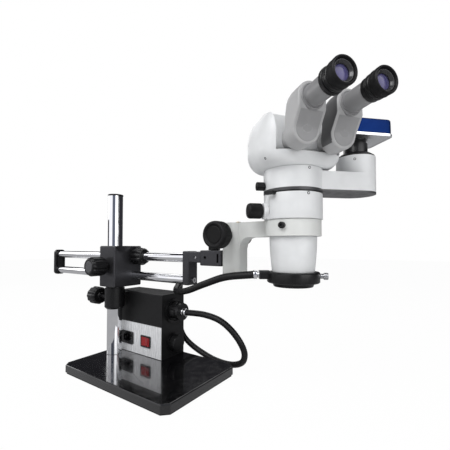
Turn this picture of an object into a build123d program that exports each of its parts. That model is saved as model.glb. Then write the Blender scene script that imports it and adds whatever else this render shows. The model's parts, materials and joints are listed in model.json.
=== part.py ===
from build123d import *
from math import acos, cos, pi, radians, sin, tan
import os

# Stereo microscope on a twin-rod boom stand, with a fibre-optic light source.
# Millimetres, +Z up. The origin is on the axis of the post, on the bench.
# +X runs along the boom towards the microscope, and the user sits on the -Y side.

os.makedirs("parts", exist_ok=True)

RUNNING = 0.05            # radial clearance of a shaft that turns or slides
SEAT = 0.02               # radial clearance of a fixed pin in its hole
LOOSE = 0.3               # gap between covers that move past each other

# ---- base and post
BASE_X = (-30.0, 265.0)
BASE_Y = (-100.0, 95.0)
BASE_TOP = 18.0
PAD = 3.0                 # rubber sheet under the plate
BASE_CORNER = 11.0        # 45 degree corner of the plate
POST_R = 16.0
POST_TOP = 372.0
CAP_HEIGHT = 3.0
BOLT_R = 5.0

# ---- light source, standing on the base behind the post
CASE_X = (-27.0, 125.0)
CASE_Y = (26.0, 93.0)
CASE_TOP = 154.0
SHEET = 2.0               # wall of the case
PANEL_TOP = 86.0
PANEL = 1.2
PANEL_FRONT = CASE_Y[0] - PANEL
SOCKET_X = 15.0
SWITCH_X = 77.0
SWITCH_Z = 50.0
PORT_Y = 60.0
PORT_Z = 117.0
DIAL_Z = 49.0
FAN_X = -19.0
FAN_Z = 96.0
FAN_R = 22.0

# ---- height collar and boom block on the post
COLLAR_R = 21.5
COLLAR_Z = (118.0, 164.0)
BLOCK_X = (-25.0, 29.0)
BLOCK_Y = (-23.0, 51.0)
BLOCK_Z = (167.6, 258.5)
THRUST_R = 19.0           # washer face between collar and block
KNOB_R = 20.5
STUD_R = 4.0

# ---- boom
ROD_R = 9.5
ROD_Y = 34.0
ROD_Z = (190.4, 234.6)
ROD_X = (-314.0, 199.0)
PLATE_X = (-318.0, -308.0)
BRACKET_X = (187.0, 203.5, 232.0)
BRACKET_Y = (20.0, 48.0)
BRACKET_Z = (181.0, 248.0)
ARM_Z = (226.0, 247.0)
PIN_R = 6.5
PIN_Z = 236.5
SET_SCREW_X = 219.0       # screw that holds the swivel pin in the bracket

# ---- focus column
ADAPTER_X = (237.0, 286.0)
ADAPTER_Y = (14.0, 54.0)
ADAPTER_Z = (221.5, 250.0)
ADAPTER_KNOB_X = 256.0
RAIL_X = (288.5, 308.0)
COLUMN_Y = (12.0, 54.0)
COLUMN_Z = (207.0, 299.0)
PINION_X = 301.0
PINION_Z = 276.6
MODULE = 1.0
TEETH = 16
PINION_SHAFT_R = 3.0
PRESSURE = radians(20)
BACKLASH = 0.25
FOCUS_KNOB_R = 23.2
FAR_KNOB_R = 17.5
KNOB_REACH = 17.0         # from the column's face to the user-side focus knob
FAR_REACH = 2.0           # the same on the far side
SHAFT_GRIP = 10.0         # length of pinion shaft inside each knob
BODY_X = 321.5            # +X face of the sliding half of the column
ARM_END = 356.0

# ---- microscope, about its own vertical axis
POD = (412.0, 36.0)
POD_TURN = 45.0           # from the boom's axes to the port's direction
HEAD_TURN = 54.0          # from the boom's axes to the eyepiece head's sideways axis
RING_R = 44.0
RING_BORE = 38.05
RING_Z = (273.0, 299.0)
RING_SCREW_Z = 289.0
RING_SCREW_ANGLE = -88.0
ZOOM_R = 46.0
ZOOM_Z = (299.2, 339.0)
ZOOM_KNOB_Z = 313.0
WALL = 3.0
OBJECTIVE_Z = (201.0, 217.0, 273.0)
NOSE_R = 31.0
LIGHT_R = 41.5
LIGHT_Z = (194.0, 200.0, 217.0)
INLET_ANGLE = 215.0
INLET_Z = 212.5
LIGHT_SCREW_Z = 210.5
GUIDE_R = 6.5
PORT_BODY_Z = (341.0, 377.0)
PORT_BODY_R = 46.5
SELECTOR_Z = 352.0
SIDE_PORT = 112.0         # from the microscope's axis to the camera's axis
SIDE_R = 30.8
SIDE_TOP = 404.0
CAMERA_Z = (431.0, 438.0, 463.0)

# ---- eyepiece head, in its own frame: x sideways, -y towards the user
SHELL_HALF = 69.0
SHELL_Z = (377.3, 465.0)
SHELL_SWEEP = 79.0        # the shell stays inside this radius so that it can turn
OPENING_HALF = 54.0
LIP_Z = 396.0
TILT_FRONT = 4.0          # tilt axis, ahead of the microscope's axis
TILT_Z = 419.0
VISOR_R = 42.0
DRUM_CUT = 31.0           # the drum is open below this depth under its axis
BACK_CUT = 15.0           # the same for its back half, which dips as the tubes are raised
TUBE_SLOPE = 2.0
EYE_HALF = 30.0           # half the distance between the eye tubes, and between their pivots
PIVOT_START = (53.0, 413.0)   # forward and up: back of the prism housings, on their pivot
EYE_RISE = 36.0           # from a prism housing's pivot up to its eye tube
PIVOT_R = 15.5            # hollow stub that each prism housing turns on
EYE_LEAN = 14.0           # how far the top of a prism housing stands ahead of its pivot
HOUSING_HALF = 21.5
HOUSING_DEPTH = 32.0
TUBE_R = 14.4
TUBE_END = 79.0           # along the tube, from the pivot's starting plane
BARREL_START = 52.0
EYEPIECE_R = 16.8
EYEPIECE_END = 93.0
CUP_R = 17.6
CUP_END = 107.0

UP = (0, 0, 1)
BASE_ALIGN = (Align.CENTER, Align.CENTER, Align.MIN)


# ------------------------------------------------------------------ helpers
def save(name, *solids):
    """Write one node; several solids make a group of separate pieces."""
    shape = solids[0] if len(solids) == 1 else Compound(children=list(solids))
    export_step(shape, f"parts/{name}.step")


def slab(x, y, z):
    """Box between pairs of limits."""
    centre = Pos((x[0] + x[1]) / 2, (y[0] + y[1]) / 2, (z[0] + z[1]) / 2)
    return centre * Box(x[1] - x[0], y[1] - y[0], z[1] - z[0])


def bar(radius, start, direction, length):
    """Round bar from start along direction."""
    return Plane(origin=start, z_dir=direction) * Cylinder(radius, length, align=BASE_ALIGN)


def ring(outer, inner, start, direction, length):
    """Tube from start along direction."""
    hole = bar(inner, start, direction, length)
    return bar(outer, start, direction, length) - hole


def turned(profile):
    """Solid turned about Z from a list of (radius, z) corners."""
    face = make_face(Polyline([(r, 0, z) for r, z in profile], close=True))
    return revolve(face, Axis.Z)


def fluted(radius, length, flutes, flute_radius, start, direction, edge=1.5):
    """Knob with round grooves along its side, from start along direction."""
    body = Cylinder(radius, length, align=BASE_ALIGN)
    body = fillet(body.edges().filter_by(GeomType.CIRCLE), edge)
    groove = Cylinder(flute_radius, length, align=BASE_ALIGN)
    for spot in PolarLocations(radius + flute_radius * 0.55, flutes):
        body -= spot * groove
    return Plane(origin=start, z_dir=direction) * body


def on_pod(shape):
    """Place a part drawn about Z onto the microscope's axis, turned with the port."""
    return Pos(POD[0], POD[1], 0) * Rot(0, 0, POD_TURN) * shape


def on_head(shape):
    """Place a part drawn in the eyepiece head's frame."""
    return Pos(POD[0], POD[1], 0) * Rot(0, 0, HEAD_TURN) * shape


def prism_of(points, depth):
    """Straight solid from an outline in X-Y, centred on Z = 0."""
    return Pos(0, 0, -depth / 2) * extrude(make_face(Polyline(points, close=True)), depth)


# ------------------------------------------------------------------ base and post
def base_outline(inset):
    """Plate outline with its four corners cut off."""
    width = BASE_X[1] - BASE_X[0] - 2 * inset
    depth = BASE_Y[1] - BASE_Y[0] - 2 * inset
    outline = chamfer(Rectangle(width, depth).vertices(), BASE_CORNER)
    return Pos(sum(BASE_X) / 2, sum(BASE_Y) / 2) * outline


def base_plate():
    plate = Pos(0, 0, PAD) * extrude(base_outline(0), BASE_TOP - PAD)
    plate = chamfer(plate.faces().sort_by(Axis.Z)[-1].edges(), 1.2)
    plate -= bar(BOLT_R + 0.25, (0, 0, 0), UP, BASE_TOP)
    return plate - bar(10.5, (0, 0, 0), UP, PAD + 7)


def base_pad():
    return extrude(base_outline(2), PAD)


def post():
    column = bar(POST_R, (0, 0, BASE_TOP), UP, POST_TOP - BASE_TOP)
    column = chamfer(column.edges().filter_by(GeomType.CIRCLE), 0.6)
    column -= bar(BOLT_R + SEAT, (0, 0, BASE_TOP), UP, 28)
    return column - bar(8 + SEAT, (0, 0, POST_TOP - 9), UP, 9)


def post_cap():
    disc = bar(POST_R + 0.8, (0, 0, POST_TOP), UP, CAP_HEIGHT)
    disc = fillet(disc.edges().sort_by(Axis.Z)[-1], 1)
    return disc + bar(8, (0, 0, POST_TOP - 8), UP, 8)


def post_bolt():
    head_top = PAD + 7
    head = bar(8, (0, 0, head_top - 6), UP, 6)
    socket = Pos(0, 0, head_top - 6) * extrude(RegularPolygon(4.6, 6), 3.5)
    return head - socket + bar(BOLT_R, (0, 0, head_top), UP, 33)


# ------------------------------------------------------------------ light source
def socket_opening(depth):
    return slab((SOCKET_X - 15, SOCKET_X + 15), depth, (SWITCH_Z - 11, SWITCH_Z + 11))


def switch_opening(depth):
    return slab((SWITCH_X - 14.5, SWITCH_X + 14.5), depth, (SWITCH_Z - 11, SWITCH_Z + 11))


def illuminator_case():
    outside = slab(CASE_X, CASE_Y, (BASE_TOP, CASE_TOP))
    outside = fillet(outside.edges().filter_by(Axis.X).sort_by(Axis.Z)[-2:], 2)
    inside = slab((CASE_X[0] + SHEET, CASE_X[1] - SHEET), (CASE_Y[0] + SHEET, CASE_Y[1] - SHEET),
                  (BASE_TOP + SHEET, CASE_TOP - SHEET))
    case = outside - inside
    front = (CASE_Y[0] - 1, CASE_Y[0] + SHEET + 1)
    case -= socket_opening(front) + switch_opening(front)
    case -= bar(14, (CASE_X[1] - 5, PORT_Y, PORT_Z), (1, 0, 0), 10)
    case -= bar(5, (CASE_X[1] - 5, PORT_Y, DIAL_Z), (1, 0, 0), 10)
    for row in range(-2, 3):
        case -= slab((CASE_X[0] - 1, CASE_X[0] + SHEET + 1), (PORT_Y - 18, PORT_Y + 18),
                     (FAN_Z - 9 + 9 * row, FAN_Z - 5 + 9 * row))
    for column in range(7):
        vent = 40 + 9 * column
        case -= slab((vent, vent + 3), (CASE_Y[1] - 5, CASE_Y[1] + 5), (40, 78))
    return case + bar(3, (CASE_X[0] + SHEET, PORT_Y, FAN_Z), (1, 0, 0), 14)


def illuminator_panel():
    panel = slab((CASE_X[0] + 1, CASE_X[1] - 1), (PANEL_FRONT, CASE_Y[0]), (BASE_TOP + 1, PANEL_TOP))
    depth = (PANEL_FRONT - 1, CASE_Y[0] + 1)
    return panel - socket_opening(depth) - switch_opening(depth)


def inlet_socket():
    flange = slab((SOCKET_X - 21, SOCKET_X + 21), (PANEL_FRONT - 2, PANEL_FRONT),
                  (SWITCH_Z - 14, SWITCH_Z + 14))
    flange = fillet(flange.edges().filter_by(Axis.Y), 4)
    body = slab((SOCKET_X - 14.6, SOCKET_X + 14.6), (PANEL_FRONT, PANEL_FRONT + 22),
                (SWITCH_Z - 10.6, SWITCH_Z + 10.6))
    socket = flange + body
    cavity = slab((SOCKET_X - 12, SOCKET_X + 12), (PANEL_FRONT - 3, PANEL_FRONT + 14),
                  (SWITCH_Z - 8, SWITCH_Z + 8))
    cavity = chamfer(cavity.edges().filter_by(Axis.Y).sort_by(Axis.Z)[-2:], 4)
    socket -= cavity
    for x, z in ((-7, -1), (0, 3), (7, -1)):
        middle = (SOCKET_X + x, SWITCH_Z + z)
        socket += slab((middle[0] - 1, middle[0] + 1), (PANEL_FRONT, PANEL_FRONT + 15),
                       (middle[1] - 2.5, middle[1] + 2.5))
    return socket


def switch_bezel():
    flange = slab((SWITCH_X - 15.5, SWITCH_X + 15.5), (PANEL_FRONT - 2, PANEL_FRONT),
                  (SWITCH_Z - 12.5, SWITCH_Z + 12.5))
    flange = fillet(flange.edges().filter_by(Axis.Y), 2)
    body = slab((SWITCH_X - 14.3, SWITCH_X + 14.3), (PANEL_FRONT, PANEL_FRONT + 22),
                (SWITCH_Z - 10.6, SWITCH_Z + 10.6))
    cavity = slab((SWITCH_X - 13.5, SWITCH_X + 13.5), (PANEL_FRONT - 3, PANEL_FRONT + 18),
                  (SWITCH_Z - 9.6, SWITCH_Z + 9.6))
    return flange + body - cavity


def power_rocker():
    """Rocker that turns about an upright pin 7 mm behind its face."""
    ridge = PANEL_FRONT - 3.6
    valley = PANEL_FRONT - 1.6
    outline = [(-11.6, ridge), (0, valley), (11.6, ridge), (11.6, ridge + 14), (-11.6, ridge + 14)]
    body = Pos(SWITCH_X, 0, SWITCH_Z) * prism_of(outline, 18.6)
    body = fillet(body.edges().filter_by(Axis.Z).sort_by(Axis.Y)[:2], 1)
    return body - bar(1.2, (SWITCH_X, ridge + 7, SWITCH_Z - 15), UP, 30)


def light_port():
    """Flange, nozzle with a lobed clamp collar, and the ferrule of the light guide."""
    face = CASE_X[1]
    port = ring(25.5, 9, (face, PORT_Y, PORT_Z), (1, 0, 0), 4)
    port += ring(18.5, 9, (face + 4, PORT_Y, PORT_Z), (1, 0, 0), 24)
    collar = fluted(21, 11, 6, 7, (face + 9, PORT_Y, PORT_Z), (1, 0, 0), 1)
    port += collar - bar(12, (face + 4, PORT_Y, PORT_Z), (1, 0, 0), 24)
    return port + ring(13.5, 12, (face - 7, PORT_Y, PORT_Z), (1, 0, 0), 7)


def lamp_module():
    """Halogen lamp in a reflector on a finned block, facing the port."""
    mouth = CASE_X[1] - 12
    cup = [(5, 0), (12, 6), (21, 22), (21, 26), (19, 26), (19, 23), (10.5, 7.5), (3.5, 2)]
    reflector = turned([(r, z) for r, z in cup] + [(0, 2), (0, 0)])
    reflector = Plane(origin=(mouth - 26, PORT_Y, PORT_Z), z_dir=(1, 0, 0)) * reflector
    holder = slab((mouth - 44, mouth - 26), (PORT_Y - 16, PORT_Y + 16), (PORT_Z - 25, PORT_Z + 16))
    for row in range(4):
        z = PORT_Z - 12 + 8 * row
        holder -= slab((mouth - 45, mouth - 32), (PORT_Y - 17, PORT_Y + 17), (z, z + 3))
    pillar = slab((mouth - 44, mouth - 30), (PORT_Y - 10, PORT_Y + 10), (BASE_TOP + SHEET, PORT_Z - 25))
    bulb = bar(4, (mouth - 24, PORT_Y, PORT_Z), (1, 0, 0), 12)
    return holder + pillar + reflector + bulb


def cooling_fan():
    """Seven-bladed rotor on the spindle behind the grille."""
    blades = 7
    hub_r, hub_length = 9, 9
    rotor = bar(hub_r, (FAN_X, PORT_Y, FAN_Z), (1, 0, 0), hub_length)
    for blade in range(blades):
        vane = Pos(0, (hub_r + FAN_R) / 2 - 1, 0) * Rot(0, 35, 0) * Box(hub_length, FAN_R - hub_r + 2, 1.4)
        rotor += Pos(FAN_X + hub_length / 2, PORT_Y, FAN_Z) * Rot(360 / blades * blade, 0, 0) * vane
    return rotor - bar(3 + RUNNING, (FAN_X - 2, PORT_Y, FAN_Z), (1, 0, 0), hub_length + 4)


def intensity_knob():
    """Brightness dial with its shaft."""
    face = CASE_X[1] + 0.5
    dial = fluted(17, 14, 12, 1.6, (face + 3, PORT_Y, DIAL_Z), (1, 0, 0))
    skirt = bar(19.5, (face, PORT_Y, DIAL_Z), (1, 0, 0), 3)
    shaft = bar(3, (face - 14, PORT_Y, DIAL_Z), (1, 0, 0), 14)
    return dial + skirt + shaft


def light_guide():
    """Jacketed fibre bundle, from the port down beside the case, round behind it and up to the ring light."""
    angle = radians(INLET_ANGLE)
    reach = (cos(angle), sin(angle))
    start = (CASE_X[1] + 34, PORT_Y, PORT_Z)
    end = (POD[0] + 68 * reach[0], POD[1] + 68 * reach[1], INLET_Z)
    way = [
        start,
        (212, 62, 118),
        (247, 66, 110),
        (271, 72, 92),
        (286.5, 80, 68),
        (288.5, 90, 46),
        (276, 101, 24),
        (245, 107, 11),
        (180, 112, 14),
        (112, 107, 50),
        (98, 104, 110),
        (112, 95, 168),
        (150, 42, 165),
        (205, 12, 172),
        (258, 3, 190),
        (305, -1, 205),
        end,
    ]
    path = Spline(way, tangents=((1, 0, 0), (-reach[0], -reach[1], 0)))
    section = Plane(origin=start, z_dir=(1, 0, 0)) * Circle(GUIDE_R)
    return sweep(section, path)


# ------------------------------------------------------------------ collar and boom block
def safety_collar():
    collar = bar(COLLAR_R, (0, 0, COLLAR_Z[0]), UP, COLLAR_Z[1] - COLLAR_Z[0])
    collar = chamfer(collar.edges().sort_by(Axis.Z)[0], 4)
    collar += bar(THRUST_R, (0, 0, COLLAR_Z[1]), UP, BLOCK_Z[0] - COLLAR_Z[1] - RUNNING)
    collar -= bar(POST_R + RUNNING, (0, 0, COLLAR_Z[0] - 1), UP, 60)
    middle = (0, 0, sum(COLLAR_Z) / 2)
    return collar - bar(STUD_R + RUNNING, middle, (-1, 0, 0), 30)


def clamp_knob(face, length, neck_r, neck_length, point, direction):
    """Fluted clamp knob on a threaded stud; face is where the knob starts, from the post's axis."""
    reach = Vector(*direction)
    origin = Vector(*point)
    stud = bar(STUD_R, origin + reach * (POST_R + 0.3), direction, face - POST_R)
    neck = bar(neck_r, origin + reach * (face - neck_length), direction, neck_length + 0.5)
    head = fluted(KNOB_R, length, 12, 4, origin + reach * face, direction, 3)
    return stud + neck + head


def boom_block():
    block = slab(BLOCK_X, BLOCK_Y, BLOCK_Z)
    block = fillet(block.edges(), 3)
    block -= bar(POST_R + RUNNING, (0, 0, BLOCK_Z[0] - 1), UP, 100)
    for z in ROD_Z:
        block -= bar(ROD_R + RUNNING, (BLOCK_X[0] - 1, ROD_Y, z), (1, 0, 0), 60)
    block -= bar(STUD_R + RUNNING, (0, 0, sum(BLOCK_Z) / 2 + 1), (0, -1, 0), 30)
    scoop = Pos(BLOCK_X[1] + 69, 0, BLOCK_Z[1] + 8) * Sphere(72.5)
    return block - scoop


def rod_lock_nut():
    nut = fluted(20, 33.5, 12, 4, (BLOCK_X[1] + 0.3, ROD_Y, ROD_Z[1]), (1, 0, 0), 2)
    return nut - bar(ROD_R + 0.1, (BLOCK_X[1] - 1, ROD_Y, ROD_Z[1]), (1, 0, 0), 40)


# ------------------------------------------------------------------ boom
def boom_rods():
    rods = []
    for z in ROD_Z:
        rod = bar(ROD_R, (ROD_X[0], ROD_Y, z), (1, 0, 0), ROD_X[1] - ROD_X[0])
        rods.append(chamfer(rod.edges().filter_by(GeomType.CIRCLE), 0.5))
    return rods


def rear_end_plate():
    plate = slab(PLATE_X, BRACKET_Y, (177, 248))
    plate = fillet(plate.edges().filter_by(Axis.X), 9)
    plate = fillet(plate.edges().filter_by(Axis.Y, reverse=True), 1.2)
    for z in ROD_Z:
        plate -= bar(ROD_R + SEAT, (ROD_X[0], ROD_Y, z), (1, 0, 0), 10)
        plate -= bar(3, (PLATE_X[0] - 1, ROD_Y, z), (1, 0, 0), 10)
    return plate


def front_bracket():
    """Upright bar on the two rods, with an arm that takes the swivel pin."""
    bar_x, arm_end = BRACKET_X[:2], BRACKET_X[2]
    bracket = fillet(slab(bar_x, BRACKET_Y, BRACKET_Z).edges(), 2.5)
    arm = slab((bar_x[1] - 5, arm_end), (BRACKET_Y[0] + 1, BRACKET_Y[1] - 1), ARM_Z)
    bracket += fillet(arm.edges().filter_by(Axis.X), 2)
    for z in ROD_Z:
        bracket -= bar(ROD_R + SEAT, (bar_x[0] - 1, ROD_Y, z), (1, 0, 0), ROD_X[1] - bar_x[0] + 1.5)
    bracket -= bar(PIN_R + RUNNING, (bar_x[1], ROD_Y, PIN_Z), (1, 0, 0), 40)
    bracket -= bar(3, (SET_SCREW_X, BRACKET_Y[0] - 1, PIN_Z), (0, 1, 0), 8)
    return bracket - bar(3, (ROD_X[1], ROD_Y, ROD_Z[0]), (1, 0, 0), 8)


def cap_screw(point, direction):
    """Socket-head cap screw; point is under its head."""
    away = Vector(*direction)
    head = bar(5, point, direction, 4)
    socket = Plane(origin=Vector(*point) + away * 1.5, z_dir=direction) * extrude(RegularPolygon(2.6, 6), 3)
    return head - socket + bar(3 - SEAT, point, [-d for d in direction], 4)


def boom_screws():
    """Screws at the ends of the rods and the round stop button behind the bracket."""
    screws = [cap_screw((PLATE_X[0], ROD_Y, z), (-1, 0, 0)) for z in ROD_Z]
    screws.append(cap_screw((BRACKET_X[1], ROD_Y, ROD_Z[0]), (1, 0, 0)))
    middle = sum(ROD_Z) / 2
    screws.append(bar(6, (BRACKET_X[0] - 4, ROD_Y, middle), (1, 0, 0), 4))
    screws.append(bar(3 - SEAT, (SET_SCREW_X, BRACKET_Y[0] + 3, PIN_Z), (0, 1, 0), 4))
    return screws


# ------------------------------------------------------------------ focus column
def swivel_adapter():
    """Block on a level pin; it lets the microscope lean to either side."""
    body = fillet(slab(ADAPTER_X, ADAPTER_Y, ADAPTER_Z).edges(), 2)
    body += bar(9, (BRACKET_X[2] + 0.1, ROD_Y, PIN_Z), (1, 0, 0), 7)
    body += bar(PIN_R, (BRACKET_X[1] + 3, ROD_Y, PIN_Z), (1, 0, 0), 40)
    body += slab((ADAPTER_X[1] - 3, RAIL_X[0]), (ROD_Y - 10, ROD_Y + 10), (224, 247))
    body -= slab((276, 280), (ADAPTER_Y[0] - 1, ADAPTER_Y[0] + 8), (228, 244))
    body -= bar(3, (ADAPTER_X[0] + 12, ADAPTER_Y[0] - 1, PIN_Z), (0, 1, 0), 9)
    return body - bar(STUD_R + RUNNING, (ADAPTER_KNOB_X, ROD_Y, ADAPTER_Z[1] - 12), UP, 20)


def adapter_knob():
    """Small knurled screw that locks the column to the adapter."""
    top = ADAPTER_Z[1] + 0.3
    head = fluted(11, 13, 12, 1.5, (ADAPTER_KNOB_X, ROD_Y, top), UP, 0.8)
    return head + bar(STUD_R, (ADAPTER_KNOB_X, ROD_Y, top - 11), UP, 11)


def dovetail(margin, depth, z):
    """Dovetail bar along Z, from the sliding face towards -X and wider at its tip."""
    middle = sum(COLUMN_Y) / 2
    x_root, x_tip = RAIL_X[1] + 0.3, RAIL_X[1] - depth
    half_root = 9 + margin
    half_tip = half_root + 0.6 * (x_root - x_tip)
    corners = [(x_root, middle - half_root), (x_tip, middle - half_tip),
               (x_tip, middle + half_tip), (x_root, middle + half_root)]
    face = make_face(Polyline([(x, y, z[0]) for x, y in corners], close=True))
    return extrude(face, z[1] - z[0])


def focus_rail():
    """Fixed half of the column, with the groove that guides the other half."""
    middle = sum(COLUMN_Y) / 2
    rail = slab(RAIL_X, COLUMN_Y, COLUMN_Z)
    rail = fillet(rail.edges().filter_by(Axis.Z).sort_by(Axis.X)[:2], 5)
    run = (COLUMN_Z[0] - 1, COLUMN_Z[1] + 1)
    rail -= dovetail(LOOSE / 2, 3.3, run)
    rail -= slab((RAIL_X[1] - 6, RAIL_X[1] + 1), (middle - 4.6, middle + 4.6), run)
    gear_room = MODULE * TEETH / 2 + 1.6
    rail -= bar(gear_room, (PINION_X, middle - 5, PINION_Z), (0, 1, 0), 10)
    return rail - bar(PINION_SHAFT_R + RUNNING, (PINION_X, COLUMN_Y[0] - 1, PINION_Z), (0, 1, 0), 60)


def focus_rack():
    """Toothed rack, screwed into the sliding half; its pitch line touches the pinion's pitch circle."""
    middle = sum(COLUMN_Y) / 2
    pitch_line = PINION_X + MODULE * TEETH / 2
    tip, root = pitch_line - 0.9 * MODULE, pitch_line + 1.2 * MODULE
    pitch = pi * MODULE
    thick = pitch / 2 - BACKLASH
    half_tip = thick / 2 - 0.9 * MODULE * tan(PRESSURE)
    half_root = thick / 2 + 1.2 * MODULE * tan(PRESSURE)
    outline = []
    count = 26
    first = PINION_Z - pitch * (count / 2 + 4.5)
    for tooth in range(count):
        z = first + pitch * tooth
        outline += [(root, z - half_root), (tip, z - half_tip), (tip, z + half_tip), (root, z + half_root)]
    outline += [(root + 3, outline[-1][1]), (root + 3, outline[0][1])]
    face = make_face(Polyline([(x, middle - 4, z) for x, z in outline], close=True))
    return extrude(face, 8, dir=(0, 1, 0))


def pinion_outline():
    """Involute teeth; one tooth points along the outline's first axis."""
    pitch = MODULE * TEETH / 2
    base = pitch * cos(PRESSURE)
    tip, root = pitch + 0.9 * MODULE, pitch - 1.15 * MODULE
    half_pitch = pi / (2 * TEETH) - BACKLASH / (2 * pitch)
    points = []
    for tooth in range(TEETH):
        middle = 2 * pi * tooth / TEETH
        flank = []
        for step in range(5):
            radius = base + (tip - base) * step / 4
            roll = acos(base / radius)
            half = half_pitch + (tan(PRESSURE) - PRESSURE) - (tan(roll) - roll)
            flank.append((radius, half))
        flank.insert(0, (root, flank[0][1]))
        for radius, half in flank:
            points.append((radius * cos(middle - half), radius * sin(middle - half)))
        for radius, half in reversed(flank):
            points.append((radius * cos(middle + half), radius * sin(middle + half)))
    return points


def focus_pinion():
    """Shaft across the column with the pinion at its middle."""
    middle = sum(COLUMN_Y) / 2
    gear = extrude(make_face(Polyline(pinion_outline(), close=True)), 8)
    gear = Pos(PINION_X, middle + 4, PINION_Z) * Rot(90, 0, 0) * gear
    near, far = COLUMN_Y[0] - KNOB_REACH - SHAFT_GRIP, COLUMN_Y[1] + FAR_REACH + SHAFT_GRIP
    shaft = bar(PINION_SHAFT_R, (PINION_X, near, PINION_Z), (0, 1, 0), far - near)
    return gear + shaft


def focus_knobs():
    """Large knob on the user's side and a smaller one behind, each with a dished face."""
    knobs = []
    near = (-1, COLUMN_Y[0], KNOB_REACH, FOCUS_KNOB_R, 25.5)
    far = (1, COLUMN_Y[1], FAR_REACH, FAR_KNOB_R, 16)
    for side, face, reach, radius, length in (near, far):
        start = face + side * reach
        neck = bar(11, (PINION_X, face + side * 0.3, PINION_Z), (0, side, 0), reach)
        knob = fluted(radius, length, 20, 1.3, (PINION_X, start, PINION_Z), (0, side, 0), 2.5)
        knob -= bar(radius * 0.71, (PINION_X, start + side * (length - 3.5), PINION_Z), (0, side, 0), 10)
        shaft_room = bar(PINION_SHAFT_R + SEAT, (PINION_X, face, PINION_Z), (0, side, 0), reach + SHAFT_GRIP)
        knobs.append(knob + neck - shaft_room)
    return knobs


def focus_body():
    """Sliding half of the column, with the arm and its curved rib."""
    front = RAIL_X[1] + 0.1
    body = slab((front, BODY_X), COLUMN_Y, COLUMN_Z)
    body = fillet(body.edges().filter_by(Axis.Z).sort_by(Axis.X)[-2:], 12)
    middle = sum(COLUMN_Y) / 2
    body += dovetail(0, 3.0, COLUMN_Z)
    arm_y = (middle - 14, middle + 14)
    arm = slab((BODY_X - 6, ARM_END), arm_y, RING_Z)
    rib_radius = 18
    rib = slab((BODY_X - 6, BODY_X + rib_radius), arm_y, (RING_Z[0] - rib_radius, RING_Z[0]))
    hollow = bar(rib_radius, (BODY_X + rib_radius, arm_y[0] - 1, RING_Z[0] - rib_radius), (0, 1, 0), 40)
    body += arm + (rib - hollow)
    pocket_x = (RAIL_X[1] - 6, PINION_X + MODULE * TEETH / 2 + 1.2 * MODULE + 3 + SEAT)
    return body - slab(pocket_x, (middle - 4.1, middle + 4.1), (COLUMN_Z[0] - 1, COLUMN_Z[1] + 1))


def ring_arm():
    """Ring that holds the microscope, with a clamp screw on the user's side."""
    height = RING_Z[1] - RING_Z[0]
    hub = bar(RING_R, (POD[0], POD[1], RING_Z[0]), UP, height)
    hub = fillet(hub.edges().filter_by(GeomType.CIRCLE), 1)
    hub += slab((ARM_END, POD[0] - 10), (sum(COLUMN_Y) / 2 - 14, sum(COLUMN_Y) / 2 + 14), RING_Z)
    hub -= bar(RING_BORE, (POD[0], POD[1], RING_Z[0] - 1), UP, height + 2)
    return hub - ring_screw_shape(STUD_R - 1 + RUNNING)


def ring_screw_frame(reach):
    """Frame of the clamp screw, at a distance from the microscope's axis."""
    return Pos(POD[0], POD[1], RING_SCREW_Z) * Rot(0, 0, RING_SCREW_ANGLE) * Pos(reach, 0, 0) * Rot(0, 90, 0)


def ring_screw_shape(radius):
    """Threaded length of the ring's clamp screw."""
    return ring_screw_frame(RING_BORE + 0.2) * Cylinder(radius, 8, align=BASE_ALIGN)


def ring_clamp_screw():
    head = Cylinder(5, 6, align=BASE_ALIGN)
    head = fillet(head.edges().sort_by(Axis.Z)[-1], 1)
    head -= Pos(0, 0, 3) * extrude(RegularPolygon(2.6, 6), 4)
    return ring_screw_frame(RING_R + 0.2) * head + ring_screw_shape(STUD_R - 1)


# ------------------------------------------------------------------ microscope body
def zoom_housing():
    neck_r = RING_BORE - RUNNING
    z = (RING_Z[0], ZOOM_Z[0], ZOOM_Z[1])
    profile = [(neck_r - WALL, z[0]), (neck_r, z[0]), (neck_r, z[1]), (ZOOM_R, z[1]), (ZOOM_R, z[2]),
               (30, z[2]), (30, z[2] - WALL), (ZOOM_R - WALL, z[2] - WALL),
               (ZOOM_R - WALL, z[1] + WALL), (neck_r - WALL, z[1] + WALL)]
    body = turned(profile)
    boss = bar(13, (-40, 0, ZOOM_KNOB_Z), (-1, 0, 0), 11)
    body += fillet(boss.edges().filter_by(GeomType.CIRCLE), 1.5)
    body -= bar(ZOOM_R - WALL, (0, 0, z[1] + WALL), UP, z[2] - z[1] - 2 * WALL)
    body -= bar(4 + RUNNING, (-60, 0, ZOOM_KNOB_Z), (1, 0, 0), 90)
    return on_pod(body)


def zoom_knob():
    """Zoom knob, its shaft and the cam that moves the lens cell."""
    shaft = bar(4, (-70, 0, ZOOM_KNOB_Z), (1, 0, 0), 94)
    cam = bar(7, (-10, 0, ZOOM_KNOB_Z), (1, 0, 0), 20)
    knob = fluted(12.2, 23.5, 12, 1.8, (-52, 0, ZOOM_KNOB_Z), (-1, 0, 0), 2)
    return on_pod(shaft + cam + knob)


def zoom_lens_group():
    """Lens pair in a cell that slides along the optical axis."""
    z, height = 291, 8
    cell = Pos(0, 0, z) * Box(4, 25, height)
    for edge in (-1, 1):
        cell += Pos(0, edge * 8.75, z) * Box(52, 7.5, height)
    for side in (-1, 1):
        cell += bar(10.5, (side * 13, 0, z - height / 2), UP, height)
    return on_pod(cell)


def objective_housing():
    nose, seam, top = OBJECTIVE_Z
    steps = 8
    outside = []
    for step in range(steps + 1):
        part = step / steps
        outside.append((33.5 + 3.8 * sin(part * pi / 2), seam + (top - 0.1 - seam) * part))
    profile = [(27.5, nose), (NOSE_R, nose), (NOSE_R, seam)] + outside + [(32, top - 0.1), (27.5, top - 30)]
    return on_pod(turned(profile))


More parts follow.
